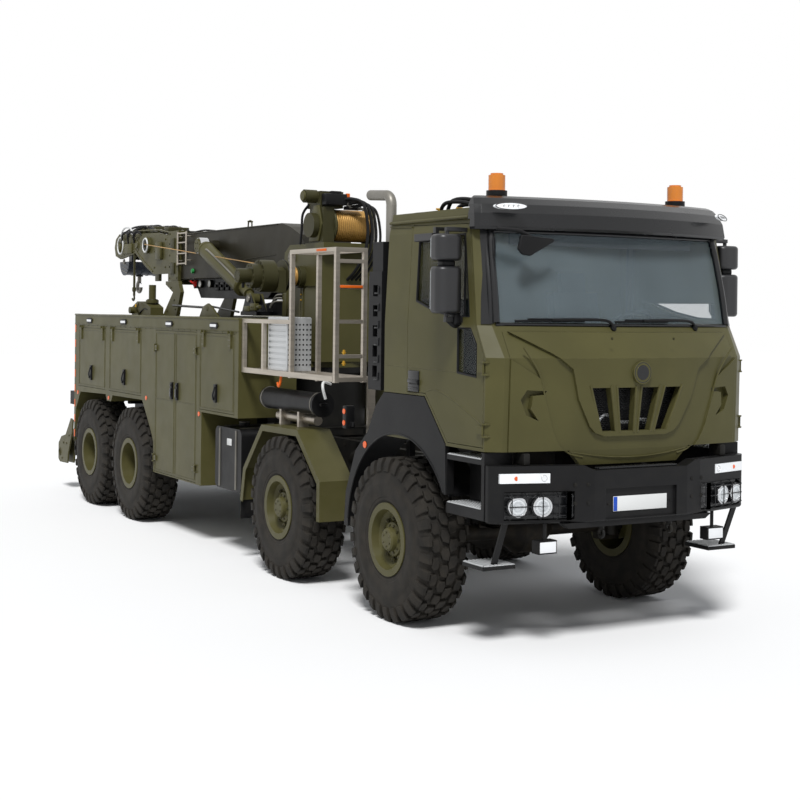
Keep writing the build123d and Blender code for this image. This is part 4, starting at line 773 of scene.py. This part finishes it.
Piece("bumper_bolts", "truck", "chassis", BOTH, bolt=[
    ((300, -1576, 1095), AHEAD, 8, 6),
    *[((x, y, z), AHEAD, 14, 7) for x, y in ((500, -1591), (610, -1574)) for z in (1255, 1115)]])
Piece(
    "lamp_guards", "truck", "black_gloss", BOTH,
    box=[(655, 700, on_bumper(678, -50, 0)[1], on_bumper(678, -38, 0)[1], 1000, 1212, 4)],
    wire=[
        *[([on_bumper(x, depth, z) for x, depth in ((620, -3), (640, -44), (1128, -44), (1150, 0))], 4.5)
          for z in (1035, 1105, 1175)],
        *[([on_bumper(x, depth, z) for depth, z in ((-3, 1004), (-44, 1024), (-44, 1186), (-3, 1206))], 4.5)
          for x in (650, 760, 880, 1000, 1115)]])
lenses = Piece("headlamp_lenses", "truck", "lens", BOTH)
bumper_normal = Vector((158, -580, 0)).normalized()
bowls = Piece("headlamp_bowls", "truck", "chrome", BOTH,
              ring=[(on_bumper(850, -2, 1310), bumper_normal, 22, 2.5, 28, 6)])
bulbs = Piece("headlamp_bulbs", "truck", "white_lens", BOTH)
for x in (877, 1062):
    middle = Vector((x, on_bumper(x - 12, -24, 0)[1], 1102))
    places = {out: middle + bumper_normal * out for out in (0, 2, 3, 5, 8, 12)}
    bowls.ring(places[3], bumper_normal, 68, 10, 40, 8)
    bowls.rod(places[0], places[3], 60, 32)
    bulbs.ring(places[5], bumper_normal, 48, 7, 36, 8)
    bulbs.rod(places[2], places[8], 24, 24, 3)
    lenses.rod(places[8], places[12], 68, 32, 2, 62)
for side, s in SIDES:
    Piece(f"indicator_centre_{side}", "truck", "orange_lens", (s,),
          rod=[(on_bumper(1060, 6, 1310), on_bumper(1060, -4, 1310), 17, 20, 2)])
Piece("fog_lenses", "truck", "white_lens", BOTH, box=[(745, 890, -1527, -1519, 755, 835, 4)])
Piece("bare_plate", "truck", "white", box=[(-260, 260, -1583, -1579, 1038, 1152, 2)])
Piece("plate_strip", "truck", "blue", box=[(-258, -222, -1584.5, -1582, 1041, 1149, 1)])
Piece("bumper_insert", "truck", "black_gloss",
      box=[(-380, 380, y, y + 14, 1358, 1374, 4) for y in (-1560, -1536, -1512)])
Piece("front_tow_pins", "truck", "chassis", BOTH, rod_z=[(330, -1530, 955, 900, 22, 24, 4)],
      ring=[((330, -1530, 872), OUT, 30, 11, 28, 10)], box=[(930, 985, -1440, -1300, 1402, 1490, 8)])
grating = Piece("step_gratings", "truck", "aluminium", BOTH, 20)
for x0, x1, y0, y1, z in (
    (1004, 1242, -1255, -772, 1437), (1004, 1242, -1255, -772, 1065), (954, 1236, -1288, -1004, 640),
):
    for x in (x0 + (x1 - x0) * (i + 0.5) / 8 for i in range(8)):
        grating.box(x - 9, x + 9, y0, y1, z, z + 4, 1, 1)
        for y in (y0 + (y1 - y0) * (k + 0.5) / 14 for k in range(14)):
            grating.box(x - 10, x + 10, y - 9, y + 9, z, z + 12, 3, 1)
    grating.box(x0, x1, y0, y0 + 8, z, z + 8, 1, 1)
    grating.box(x1 - 8, x1, y0, y1, z, z + 8, 1, 1)
Piece("side_markers", "truck", "orange_lens", BOTH, rod_x=[
    (1252, 1258, 560, 1395, 30, 24, 2),
    *[(1300, 1306, y, z, 26, 24, 2) for y, z in ((5900, 1480), (7280, 1400), (8560, 1400), (4240, 1405))]])
FENDER_ANGLES = [math.radians(a) for a in range(-58, 91, 6)]
Piece("fender_edge_roll", "truck", "black", BOTH, tube=[
    ([(1250, 860 * math.sin(t), WHEEL_Z + 860 * math.cos(t)) for t in FENDER_ANGLES], 9, 8, 2)])

# Lockers: rails, seals, seams, strap bolts, handles, lamps in the top strip and the rear stripe
for name, y0, y1, z0, z1, hung in DOORS:
    a, b, low, high = y0 + 26, y1 - 26, z0 + 26, z1 - 26
    y = latch_place(y0, y1, hung)
    for side, s in SIDES:
        body = f"locker_{name}_{side}"
        seal = Piece(f"seal_{name}_{side}", body, "olive", (s,), wire=[
            ([(1300, a, low), (1300, b, low), (1300, b, high), (1300, a, high), (1300, a, low)], 4.5, 6)])
        hardware = Piece(f"hardware_{name}_{side}", body, "steel", (s,))
        latch = Piece(f"latch_{name}_{side}", body, "black_gloss", (s,))
        if hung == "top":
            for hinge_y in (y0 + 110, y1 - 110):
                hardware.bolts_x(1315.5, hinge_y, z1, [(dy, dz) for dy in (-18, 18) for dz in (-60, -120)], 5, 4)
            latch.tube([(1326, y - 18, z0 + 262), (1338, y - 6, z0 + 205), (1338, y + 12, z0 + 170),
                        (1326, y + 20, z0 + 118)], 9, 8)
        else:
            seal.wire([(1300, a, 1500), (1300, b, 1500)], 4.5, 6)
            latch.box(1320, 1332, y - 20, y + 20, 1545, 1640, 5)
            latch.rod_x(1320, 1330, y, 1672, 13, 24, 2)
            hinge_y, away = (y0, 1) if hung == "front" else (y1, -1)
            for z in (z0 + 150, z1 - 200):
                hardware.bolts_x(1315.5, hinge_y, z, [(away * dy, dz) for dy in (40, 60) for dz in (-20, 20)], 5, 4)
STRIP_LAMPS_Y = (8080, 6730, 5160, 3840)
Piece("strip_lamps", "truck", "black", BOTH, prism=[
    ([(y - 122, 2360), (y - 84, 2328), (y + 84, 2328), (y + 122, 2360), (y + 84, 2392), (y - 84, 2392)],
     "x", 1300, 1312, 4) for y in STRIP_LAMPS_Y])
Piece("strip_lamp_lenses", "truck", "white_lens", BOTH,
      box=[(1311, 1321, y - 78, y + 78, 2346, 2374, 4) for y in STRIP_LAMPS_Y])
Piece("locker_rails", "truck", "olive", BOTH, rod_x=[(1300, 1303.5, y, 2296, 6, 10) for y in range(3260, 8700, 180)],
      box=[(1288, 1308, 3192, 8718, 2425, 2446, 5), (1300, 1306, 3195, 8715, 2304, 2312, 2)])
Piece("rear_stripe", "truck", "orange", BOTH,
      box=[(1300, 1302.5, 8672, 8712, z, z + 100, 0.5, 1) for z in range(800, 2400, 200)])
Piece("deck_tread", "truck", "olive_dark", ONE, 20,
      box=[(-600, 600, y, y + 14, 2420, 2424, 1, 1) for y in range(4560, 8640, 120)])

# Between cab and lockers: reflectors, valves, canister, hoses
Piece("ladder_reflectors", "truck", "orange", BOTH,
      box=[(1000, 1225, 1106, 1112, 2738, 2762, 1), (1271, 1273, 1300, 1500, 3070, 3092, 1)])
Piece("cage_feet", "truck", "stainless", BOTH, box=[
    (x - 24, x + 24, y - 24, y + 24, 1893, 1901, 2) for y in (1130, 2050) for x in (970, 1250)])
Piece("service_valves", "truck", "yellow", rod_z=[(-1004, 1450, z, z + 46, 12, 10, 2) for z in (2030, 2130)],
      rod_y=[(-1004, 1425, 1480, z, 8, 8) for z in (2050, 2150)])
Piece("service_hoses", "truck", "hose", tube=[
    ([(x, 300, 1900), (x - 40, 500, 2400 + k * 60), (x - 20, 700, 2900 + k * 70), (x + 20, 900, 2600),
      (x + 60, 1000, 2000)], 19) for k, x in enumerate((-640, -690, -740, -600))])
Piece("service_box", "truck", "black",
      box=[(-1130, -985, 560, 760, 1880, 2840, 12), (-1140, -1130, 590, 730, 2000, 2800, 6)])
Piece("service_panels", "truck", "aluminium", box=[(-960, -700, 620, 660, z, z + 78, 6) for z in (2870, 2954, 3038)])
Piece("canister_caps", "truck", "steel", ring=[((-1090, y, 1660), (0, 1, 0), 106, 6, 40, 8) for y in (1760, 2860)],
      tube=[([(-1130, 1676, 1660), (-1095, 1668, 1662), (-1060, 1676, 1660)], 9, 8)])
Piece("orange_hook", "truck", "orange",
      tube=[([(-1236, 2300, 1900), (-1244, 2310, 1830), (-1240, 2350, 1800), (-1238, 2375, 1835)], 13)])
Piece("white_hose", "truck", "white",
      tube=[([(-1010, 1700, 1850), (-1120, 1620, 1872), (-1160, 1560, 1820), (-1140, 1540, 1720)], 13)])
Piece("box_perforations", "truck", "black", rod_y=[
    (-1212 + i * 38, 2189.5, 2188, 2010 + j * 48, 9, 10) for i in range(7) for j in range(9)])
Piece("box_straps", "truck", "aluminium", box=[
    (-1228, -1224, 2196, 2216, 1955, 2458, 1), (-1228, -1224, 2612, 2632, 1955, 2458, 1),
    (-1222, -980, 2192, 2638, 2458, 2466, 3)])
Piece("shield_slots", "truck", "black_gloss", wire=[
    ([(-1252, 352, z + 60), (-1252, 352, z), (-1252, 410, z)], 9) for z in range(1960, 2700, 145)])
Piece("tank_fittings", "truck", "steel", BOTH, rod_z=[(1000, 3710, 1345, 1356, 60, 24, 4)], wire=[
    ([(1253, y, 690), (1253, y, 1290), (1190, y, 1313), (640, y, 1313)], 11, 6) for y in (3335, 3760)])
Piece("tank_plates", "truck", "white", BOTH, box=[(1250.5, 1253, 3455, 3575, 1130, 1200, 0.8)])

# Marker box behind the front fender
Piece("marker_boxes", "truck", "black", BOTH,
      box=[(1150, 1240, 940, 1010, 1500, 1700, 8), (1180, 1200, 880, 945, 1520, 1560, 4)])
Piece("marker_lenses", "truck", "orange_lens", BOTH, rod_x=[(1240, 1247, 975, z, 24, 20, 2) for z in (1550, 1650)])


# Crane column: cover bolts, seams, grease fittings and the winch on each side
def wound_rope(x, width, y, z, radius, turns, steps):
    """The line of a rope wound on a drum along x, in so many steps a turn."""
    coil = circle(steps, radius) * turns + [(radius, 0)]
    return [(x + width * k / (turns * steps), y + c, z + d) for k, (c, d) in enumerate(coil)]


for side, s in SIDES:
    cover = Piece(f"column_bolts_{side}", "turret", "olive_dark", (s,),
                  wire=[([(351, 3730, 1995), (351, 3730, 2850)], 6)])
    for y in (3370, 3780):
        cover.bolts_x(338.5, y, 0, [(dy, z) for dy in (16, 304) for z in (2085, 2300, 2540, 2765)], 8, 6)
    if s > 0:
        for c, d in circle(24, 412):
            cover.bolt((c, 3750 + d, 2000), UP, 13, 11)
    Piece(f"grease_points_{side}", "turret", "yellow", (s,), rod_x=[
        (350, 362, y, z, 9, 10, 2) for y, z in ((3650, 2210), (3650, 2250), (3690, 2160), (3720, 2640), (3720, 2700))])
    Piece(f"side_winch_{side}", "turret", "olive_dark", (s,), bolts_x=[
        (861, 3720, 2890, circle(16, 150), 8, 7), (961, 3720, 2890, circle(10, 110), 8, 7),
        (1101, 3720, 2890, circle(10, 55), 6, 5)])
    Piece(f"side_winch_band_{side}", "turret", "black", (s,), ring=[((575, 3720, 2890), OUT, 172, 9, 48, 8)],
          rod_z=[(1030, 3720, 2815, 2760, 16, 24, 3)])
    Piece(f"side_winch_rope_{side}", "turret", "rope", (s,),
          wire=[(wound_rope(440, 110, 3720, 2890, 105, 9, 20), 6, 6)])

# Winch above the column
Piece("winch_rope", "turret", "rope", ONE, 60, wire=[(wound_rope(-158, 396, 3420, 3435, 160, 17, 36), 11.5, 6)])
Piece("winch_flange_rims", "turret", "olive", ring=[((x, 3420, 3435), OUT, 184, 7, 48, 8) for x in (-185, 265)],
      bolts_x=[(x, 3420, 3435, circle(12, 120), 7, 6) for x in (-201, 281)])
Piece(
    "winch_gearbox", "turret", "olive", bolts_x=[(-380, 3420, 3430, circle(8, 70), 8, 7)],
    prism=[([(3260, 3440), (3330, 3260), (3560, 3260), (3520, 3560), (3450, 3640), (3330, 3640)], "x", -352, -330, 8)],
    rod_x=[(-352, -380, 3420, 3430, 100, 32, 5, 88), (-470, -492, 3440, 3735, 58, 28, 4, 52)])
Piece("winch_valves", "turret", "black", box=[
    (-320, -70, 3215, 3330, 3640, 3760, 10), (-240, -120, 3250, 3300, 3760, 3790, 6),
    (-60, 120, 3250, 3330, 3600, 3640, 8)])
Piece("winch_orange_cap", "turret", "orange", box=[(-66, -26, 3236, 3276, 3690, 3770, 6)])
Piece("winch_hoses", "turret", "hose", tube=[
    *[([(-110 + k * 30, 3240, 3700 - k * 22), (x, 3170, top + 20), (x + 90, 3080, top - 40),
        (x + 130, 3050, 3400 - k * 20), (x + 110, 3070, 3150), (x + 60, 3180, 2960), (x + 20, 3290, 2860)], 17 - k)
      for k, (x, top) in enumerate(((-40, 3690), (10, 3672), (60, 3650), (110, 3625)))],
    ([(-330, 3600, 3660), (-355, 3700, 3560), (-350, 3730, 3400), (-352, 3760, 3240)], 14)])
Piece("winch_fittings", "turret", "steel", rod=[
    ((x, 3225, z), (x, 3262, z + 2), 22, 6, 2) for x, z in ((-110 + k * 30, 3700 - k * 22) for k in range(4))])
Piece("winch_guard", "turret", "steel",
      tube=[([(250, 3225, 3250), (255, 3215, 3560), (240, 3215, 3600), (60, 3215, 3612)], 15)])

# Boom: seams, collar frame, belly controls, hoses along it
Piece("boom_seams", "boom", "boom_black", BOTH, rod_x=[(424, 408, 6250, 3300, 90, 32)], wire=[
    ([(291, 4480, 3492), (291, 7440, 3492)], 9), ([(291, 4520, 2918), (291, 7440, 2918)], 9),
    ([(291, 4520, 3150), (291, 5400, 3120)], 5, 6)])
Piece("boom_pins", "turret", "steel", BOTH, rod_x=[(350, 372, 3950, 3100, 84, 36, 5, 78)],
      bolts_x=[(372, 3950, 3100, circle(8, 60), 7, 6)])
Piece("boom_handle", "boom", "olive_dark", rod_x=[(-262, -198, 5380, 3566, 10, 8)],
      tube=[([(-230, 5330, 3500), (-230, 5340, 3565), (-230, 5420, 3570), (-230, 5440, 3500)], 9, 8)])
Piece(
    "collar_frame", "boom", "stainless", BOTH, rod_z=[(352, y, 3090, 3520, 13, 12) for y in (7120, 7420)],
    rod_y=[(352, 7120, 7420, z, 10, 12) for z in (3110, 3240, 3380, 3500)],
    rod_x=[(290, 352, y, z, 10, 10) for y in (7120, 7420) for z in (3150, 3460)])
Piece("collar_bolts", "boom", "olive_dark", BOTH, box=[(335, 352, 7560, 7700, z, z + 150, 6) for z in (2980, 3300)],
      bolts_x=[(335, 0, 0, [(y, z) for y in (7490, 7760) for z in (2930, 3080, 3230, 3380, 3510)], 10, 8)])
DIALS_Y = (6536, 6850)
VALVES_Y = range(5450, 6300, 160)
Piece(
    "belly_valves", "boom", "black", BOTH,
    box=[(230, 250, 6980, 7110, 2790, 2880, 6), *[(230, 262, y, y + 110, 2760, 2860, 8) for y in VALVES_Y]],
    rod_x=[*[(262, 285, y + 55, 2815, 20, 6, 2) for y in VALVES_Y], *[(230, 268, y, 2845, 48, 24, 5) for y in DIALS_Y]])
Piece("belly_dials", "boom", "steel", BOTH, ring=[((268, y, 2845), OUT, 41, 6, 32, 8) for y in DIALS_Y],
      rod_x=[(269, 272, y, 2845, 5, 10) for y in DIALS_Y])
Piece("belly_dial_faces", "boom", "white", BOTH, rod_x=[(268, 269.5, y, 2845, 37, 28) for y in DIALS_Y])
Piece("belly_levers", "boom", "red", BOTH, rod_x=[(232, 268, 7050, 2850, 52, 28, 6, 44)],
      tube=[([(268, 7050, 2850), (290, 7070, 2870), (292, 7110, 2880)], 13)],
      box=[(291, 312, 7600, 7680, 2840, 2888, 8)])
Piece("belly_green_knob", "boom", "green", BOTH, rod_x=[(292, 322, 7010, 3010, 34, 24, 5, 28)])
HOSE_ROWS = [(k, 2890 - k * 26) for k in range(3)]
Piece("boom_hoses", "boom", "hose", BOTH, tube=[
    ([(200, 6500, 3504), (190, 6900, 3530), (205, 7300, 3520), (215, 7440, 3560)], 11, 8),
    *[([(250, 4560, z + 30), (262 + 6 * k, 4900, z - 30), (258, 5400, z - 50), (250, 5480, 2810)], 13, 8)
      for k, z in HOSE_ROWS]])
Piece("boom_hose_ends", "boom", "steel", BOTH,
      rod=[((252, 4545, z + 30), (252, 4600, z + 24), 17, 6, 2) for k, z in HOSE_ROWS])

# Lift cylinders: end caps, gland rings and valve blocks
CYLINDER_FOOT = Vector((480, 4660, 2650))
along = Vector((0, 6250 - 4660, 3300 - 2650)).normalized()
across = Vector((0, -along.z, along.y)) * 82
for side, s in SIDES:
    Piece(f"barrel_rings_{side}", "lift_barrels", "olive", (s,), box=[(445, 515, 4905, 5080, 2850, 2925, 10)],
          ring=[(CYLINDER_FOOT + along * d, along, 100, 7, 40, 8) for d in (352, 380, 1560)])
    Piece(f"barrel_pipes_{side}", "lift_barrels", "steel", (s,), tube=[
        ([CYLINDER_FOOT + along * d + across * f + Vector((76, 0, 0))
          for d, f in ((420, 0.6), (500, 0.95), (1300, 0.95), (1420, 0.7))], 11, 8)])
    Piece(f"rod_eyes_{side}", "lift_rods", "olive", (s,), rod_x=[(541, 556, 6250, 3300, 88, 36, 5, 82)],
          ring=[((541, 6250, 3300), OUT, 97, 6, 40, 8)],
          bolts_x=[(556, 6250, 3300, circle(4, 45, math.pi / 4), 9, 7)])
    Piece(f"cylinder_valves_{side}", "turret", "olive", (s,), rod_y=[(557, 4400, 4340, 2560, 22, 24, 4)],
          box=[(530, 585, 4420, 4560, 2520, 2600, 8), (556, 580, 4600, 4740, 2510, 2570, 6)],
          bolts_x=[(585, 4490, 2560, ((-25, 0), (25, 0)), 8, 6)])
    Piece(f"cylinder_pins_{side}", "turret", "steel", (s,), rod_x=[(556, 568, 4660, 2650, 42, 28, 4, 38)])
    Piece(f"pressure_pipes_{side}", "turret", "steel", (s,), tube=[
        ([(360, 4190, z), (x, 4270, z - 10), (x, 4360, z - 70), (400, 4420, 2560)], 10, 8)
        for x, z in ((390, 2700), (402, 2664), (414, 2628))])
    Piece(f"pressure_hoses_{side}", "turret", "hose", (s,), tube=[
        ([(200 + k * 30, 4200, 2760 - k * 30), (300 + k * 20, 4330, 2700), (330 + k * 15, 4440, 2640 - k * 16)], 16)
        for k in range(3)])

# Boom head: sheaves' rims, cover plates, hoses, loops and the hanging rod
HEAD_BOLTS = ((9030, 3250), (9330, 3520), (9560, 3530), (8000, 3080), (8000, 3450), (8420, 3300), (8420, 3080))
Piece(
    "head_details", "boom_extension", "olive", BOTH, ring=[((305, 9130, 3420), OUT, 96, 9, 40, 8)],
    rod_x=[(305, 322, 9130, 3420, 62, 32, 4, 56), (305, 330, 9880, 3400, 74, 32, 5, 68)],
    box=[(305, 330, 9300, 9700, 3300, 3440, 12), (305, 345, 8100, 8300, 3180, 3420, 14)],
    wire=[([(306, 8480, 3030), (306, 8760, 3140), (306, 9190, 3340), (306, 9800, 3272)], 9),
          ([(306, 7860, 3540), (306, 8300, 3590), (306, 9250, 3610), (306, 9880, 3580)], 9)],
    bolts_x=[(305.5, 0, 0, HEAD_BOLTS, 11, 9)])
Piece("head_sheaves", "boom_extension", "chassis", ring=[
    *[((x, 9880, 3400), OUT, 168, 8, 48, 8) for x in (-60, -20, 20, 60)],
    *[((x, y, z), OUT, r, 7, 40, 8)
      for y, z, r in ((9130, 3420, 118), (8800, 3400, 108)) for x in (-150, -50, 50, 150)]])
Piece("head_pulley_rings", "boom_extension", "white", BOTH, ring=[((352, 8660, 3390), OUT, 92, 13, 48, 10)])
Piece("head_pulley_cores", "boom_extension", "black", BOTH,
      rod_x=[(350, 356, 8660, 3390, 80, 36), (356, 374, 8660, 3390, 34, 28, 4, 28)])
HEAD_HOSES_X = range(-260, 209, 78)
Piece("head_hoses", "boom_extension", "hose", tube=[
    *[([(x, 8500, 3590), (x + 18, 8850, 3660 + 8 * (k % 3)), (x - 14, 9250, 3668 - 6 * (k % 2)), (x, 9600, 3640),
        (x + 10, 9980, 3560), (x + 6, 10060, 3440)], 15, 8) for k, x in enumerate(HEAD_HOSES_X)],
    *[([(-300, y, 3540), (-345, y + 60, 3600), (-355, y + 180, 3560), (-330, y + 230, 3440)], 14, 8)
      for y in (8950, 9200, 9450)]])
Piece("head_hose_loop", "boom_extension", "white", ring=[((-335, 9760, 3420), OUT, 118, 10, 48, 8)], tube=[
    ([(-322, 9250, 3560), (-335, 9330, 3650), (-335, 9560, 3665), (-335, 9700, 3600), (-330, 9720, 3500)], 12)])
Piece("head_fittings", "boom_extension", "steel", rod=[
    *[((x, 8470, 3586), (x, 8530, 3596), 20, 6, 2) for x in HEAD_HOSES_X],
    *[((x + 18, 8830, 3656), (x + 18, 8880, 3664), 20, 6, 2) for x in HEAD_HOSES_X]])
Piece("head_valve_blocks", "boom_extension", "olive_dark", box=[
    (-250, 250, 8560, 8760, 3560, 3650, 12), (-180, 180, 9330, 9500, 3560, 3660, 12),
    (-260, -120, 8000, 8200, 3540, 3620, 10)])
Piece("hanging_rod", "boom_extension", "olive_dark",
      rod_z=[(-290, 9270, 3300, 2700, 17, 14), (-290, 9270, 2760, 2820, 28, 14, 4)],
      tube=[([(-290, 9270, 2705), (-290, 9262, 2660), (-290, 9300, 2636), (-290, 9340, 2660)], 13)])
Piece("head_struts", "boom_extension", "olive", BOTH, box=[(180, 222, 8460, 8620, 2900, 3060, 8)])
Piece("hook_block_ribs", "hook_block", "steel", BOTH, rod_x=[(230, 244, 9880, 3195, 44, 28, 4, 38)],
      wire=[([(231, 9750, z - 40), (231, 10000, z + 10)], 6) for z in (3070, 3125, 3180)])
Piece("hook_nut", "hook_block", "chassis", rod_z=[(0, 9880, 2985, 3020, 52, 24, 5)],
      tube=[([(0, 9800, 2880), (0, 9850, 2905), (0, 9900, 2900)], 6, 8)])

# Taut ropes, each a straight line from a point on one body to a point on the next, fixed in place
ROPE_STEPS = 40
WINCH_END, BOOM_MIDDLE, PULLEY_END = (660, 3740, 2990), (526, 6100, 3189), (384, 8600, 3400)
for side, s in SIDES:
    for name, body, other, start, end in (
        ("winch_rope", "turret", "boom", WINCH_END, BOOM_MIDDLE),
        ("head_rope", "boom", "boom_extension", BOOM_MIDDLE, PULLEY_END),
    ):
        shares = [k / ROPE_STEPS for k in range(ROPE_STEPS + 1)]
        rope = Piece(f"{name}_{side}", body, "rope", (s,), 60, wire=[
            ([tuple(a + (b - a) * share for a, b in zip(start, end)) for share in shares], 6)])
        rope.span = (other, rope.at(*start), rope.at(*end))

# Rear deck: the boom rest's plates, tow-bar socket, black rods and bracket
Piece("rest_details", "truck", "olive_dark", BOTH, box=[(340, 420, 7300, 7880, 2416, 2432, 4)],
      bolts_x=[(401, 0, 0, ((7350, 2520), (7400, 2640), (7520, 2800), (7650, 2500)), 11, 8)])
Piece("rest_pads", "truck", "black", box=[(-330, 330, 7585, 7705, 2884, 2888, 1)])
Piece("socket_details", "truck", "olive_dark", ring=[((-450, 8080, 2642), UP, 62, 10, 32, 8)],
      bolt=[((x, y, 2425), UP, 13, 10) for y in (7960, 8560) for x in (-520, -380)],
      tube=[([(-545, 8300, 2450), (-590, 8300, 2520), (-560, 8300, 2600)], 12, 8)])
Piece("socket_hoses", "truck", "hose",
      tube=[([(-420, 7930, 2440), (-520, 7990, 2500), (-530, 8150, 2520), (-545, 8330, 2450)], 14, 8)])
Piece("socket_fittings", "truck", "yellow",
      rod_z=[(x, y, 2540, 2580, 12, 10, 2) for x, y in ((-500, 8600), (-400, 8600), (-560, 8420))])
Piece("deck_bracket", "truck", "olive", box=[(-560, -440, 5640, 6310, 2421, 2434, 3)],
      prism=[([(5650, 2422), (6300, 2422), (6180, 2560), (6020, 2600), (5900, 2560)], "x", -496, -470, 6)],
      rod_x=[(-500, -466, 6030, 2540, 34, 24, 3)])
Piece("deck_rods", "truck", "black_gloss", rod=[
    ((-460, 6040, 2545), (-460, 7280, 2570), 15, 14), ((-440, 5200, 2500), (-440, 6000, 2560), 12, 14)])

# Rear: lamp lenses, mud flaps, frame bolts, underlift bolts and pins
for name, look, x0, x1 in (
    ("tail_lenses", "red_lens", 990, 1070), ("tail_indicators", "orange_lens", 1076, 1150),
    ("tail_reverse", "white_lens", 1156, 1220),
):
    Piece(name, "truck", look, BOTH, box=[(x0, x1, 9130, 9142, 1222, 1378, 4)])
Piece("mud_flaps", "truck", "black", BOTH,
      box=[(960, 1290, 8712, 8720.5, 560, 735, 2), (965, 1290, 3112, 3120, 430, 640, 2)])
Piece("rear_frame_bolts", "truck", "chassis", BOTH,
      bolts_x=[(430.5, 0, 0, [(y, z) for y in range(1300, 8700, 240) for z in (1010, 1190)], 9, 7)])
Piece("crossbar_details", "underlift_crossbar", "olive_dark", BOTH, ring=[((1190, 9725, 500), OUT, 48, 9, 32, 8)],
      bolts_x=[(1190.5, 0, 0, ((9300, 760), (9420, 640), (9560, 640), (9620, 420)), 12, 9)],
      box=[(960, 1070, 9480, 9640, 720, 724, 1)])
carriage = Piece("carriage_details", "underlift_carriage", "steel", BOTH,
                 bolt=[((260, 8940.5, z), (0, 1, 0), 12, 9) for z in (560, 700, 860, 1020)])
carriage.signs = ONE
carriage.rod_y(0, 8941, 8965, 960, 46, 28, 4, 40)

# Under the truck: drive shafts, air tanks, springs' clips and leaves
#           front and rear ends of each shaft as y, z
SHAFTS = (
    (900, 1100, 2500, 1000), (3050, 960, 6180, 700), (6560, 690, 7690, 690), (2490, 840, 2310, 700),
    (1900, 700, 210, 700),
)
Piece("drive_shafts", "truck", "iron", rod=[((0, y0, z0), (0, y1, z1), 46, 20, 4) for y0, z0, y1, z1 in SHAFTS],
      rod_x=[(-70, 70, y, z, 26, 14) for y0, z0, y1, z1 in SHAFTS for y, z in ((y0, z0), (y1, z1))])
Piece("air_tanks", "truck", "chassis", BOTH, rod_y=[(560, 1250, 2000, 1090, 110, 32, 22)],
      box=[(430, 560, y, y + 40, 1060, 1120, 5) for y in (1380, 1820)])
Piece("spring_clips", "truck", "iron", BOTH,
      box=[(404, 496, y + dy - 14, y + dy + 14, 720, 850, 5) for y in AXLES for dy in (-70, 70)])
Piece("spring_leaves", "truck", "iron", BOTH, box=[
    (409, 491, y - 300 + k * 40, y + 300 - k * 40, 742 + k * 18, 745 + k * 18, 1, 1) for y in AXLES for k in range(4)])
trim = Piece("cab_inside_trim", "truck", "interior", BOTH, wire=[([(1090, -60, 2100), (1090, -60, 3180)], 34, 12)])
trim.signs = ONE
for form in (
    (-900, 900, -1085, -1060, 3060, 3170, 12), (-180, 180, -1120, -980, 2330, 2440, 24, 3),
    (-900, -300, -1150, -1010, 2380, 2440, 24, 3),
):
    trim.box(*form)
Piece("steering_wheel_spokes", "truck", "interior", box=[(520, 600, -740, -640, 2400, 2445, 14)])

# Light, floor and backdrop

HALF_FLOOR = 60  # metres


def make_stage():
    """A pale floor that keeps the shadow, a white surround, and one soft lamp."""
    mesh = bpy.data.meshes.new("floor")
    mesh.from_pydata([(x * HALF_FLOOR, y * HALF_FLOOR, 0) for x, y in ((-1, -1), (1, -1), (1, 1), (-1, 1))],
                     [], [(0, 1, 2, 3)])
    floor = placed("floor", mesh)
    floor.location.z = -0.001
    material = bpy.data.materials.new("pale_floor")
    tree = Tree(material)
    tree.put(tree.nodes["Principled BSDF"],
             {"Base Color": (0.93, 0.93, 0.93, 1), "Roughness": 0.9, "Specular IOR Level": 0.1})
    mesh.materials.append(material)
    world = bpy.data.worlds.new("surround")
    bpy.context.scene.world = world
    tree = Tree(world)
    tree.nodes.clear()
    output = tree.nodes.new("ShaderNodeOutputWorld")
    path = tree.nodes.new("ShaderNodeLightPath").outputs
    either = path["Is Camera Ray"]
    for kind in ("Is Glossy Ray", "Is Transmission Ray"):
        either = tree.add("Math", 0, {0: either, 1: path[kind]}, operation="MAXIMUM")
    lit = tree.add("Background", 0, {"Color": (0.93, 0.96, 1.0, 1), "Strength": 0.36})
    seen = tree.add("Background", 0, {"Color": (1, 1, 1, 1), "Strength": 1.0})
    tree.put(output, {0: tree.add("MixShader", 0, {0: either, 1: lit, 2: seen})})
    sun = bpy.data.lights.new("sun", "SUN")
    sun.energy = 3.1
    sun.angle = math.radians(14)
    holder = placed("sun", sun)
    holder.rotation_mode = "QUATERNION"
    holder.rotation_quaternion = Vector((0.42, 0.62, -0.95)).to_track_quat("-Z", "Y")


for piece in PIECES:
    piece.done()
make_stage()
bpy.context.scene.view_settings.view_transform = "Standard"
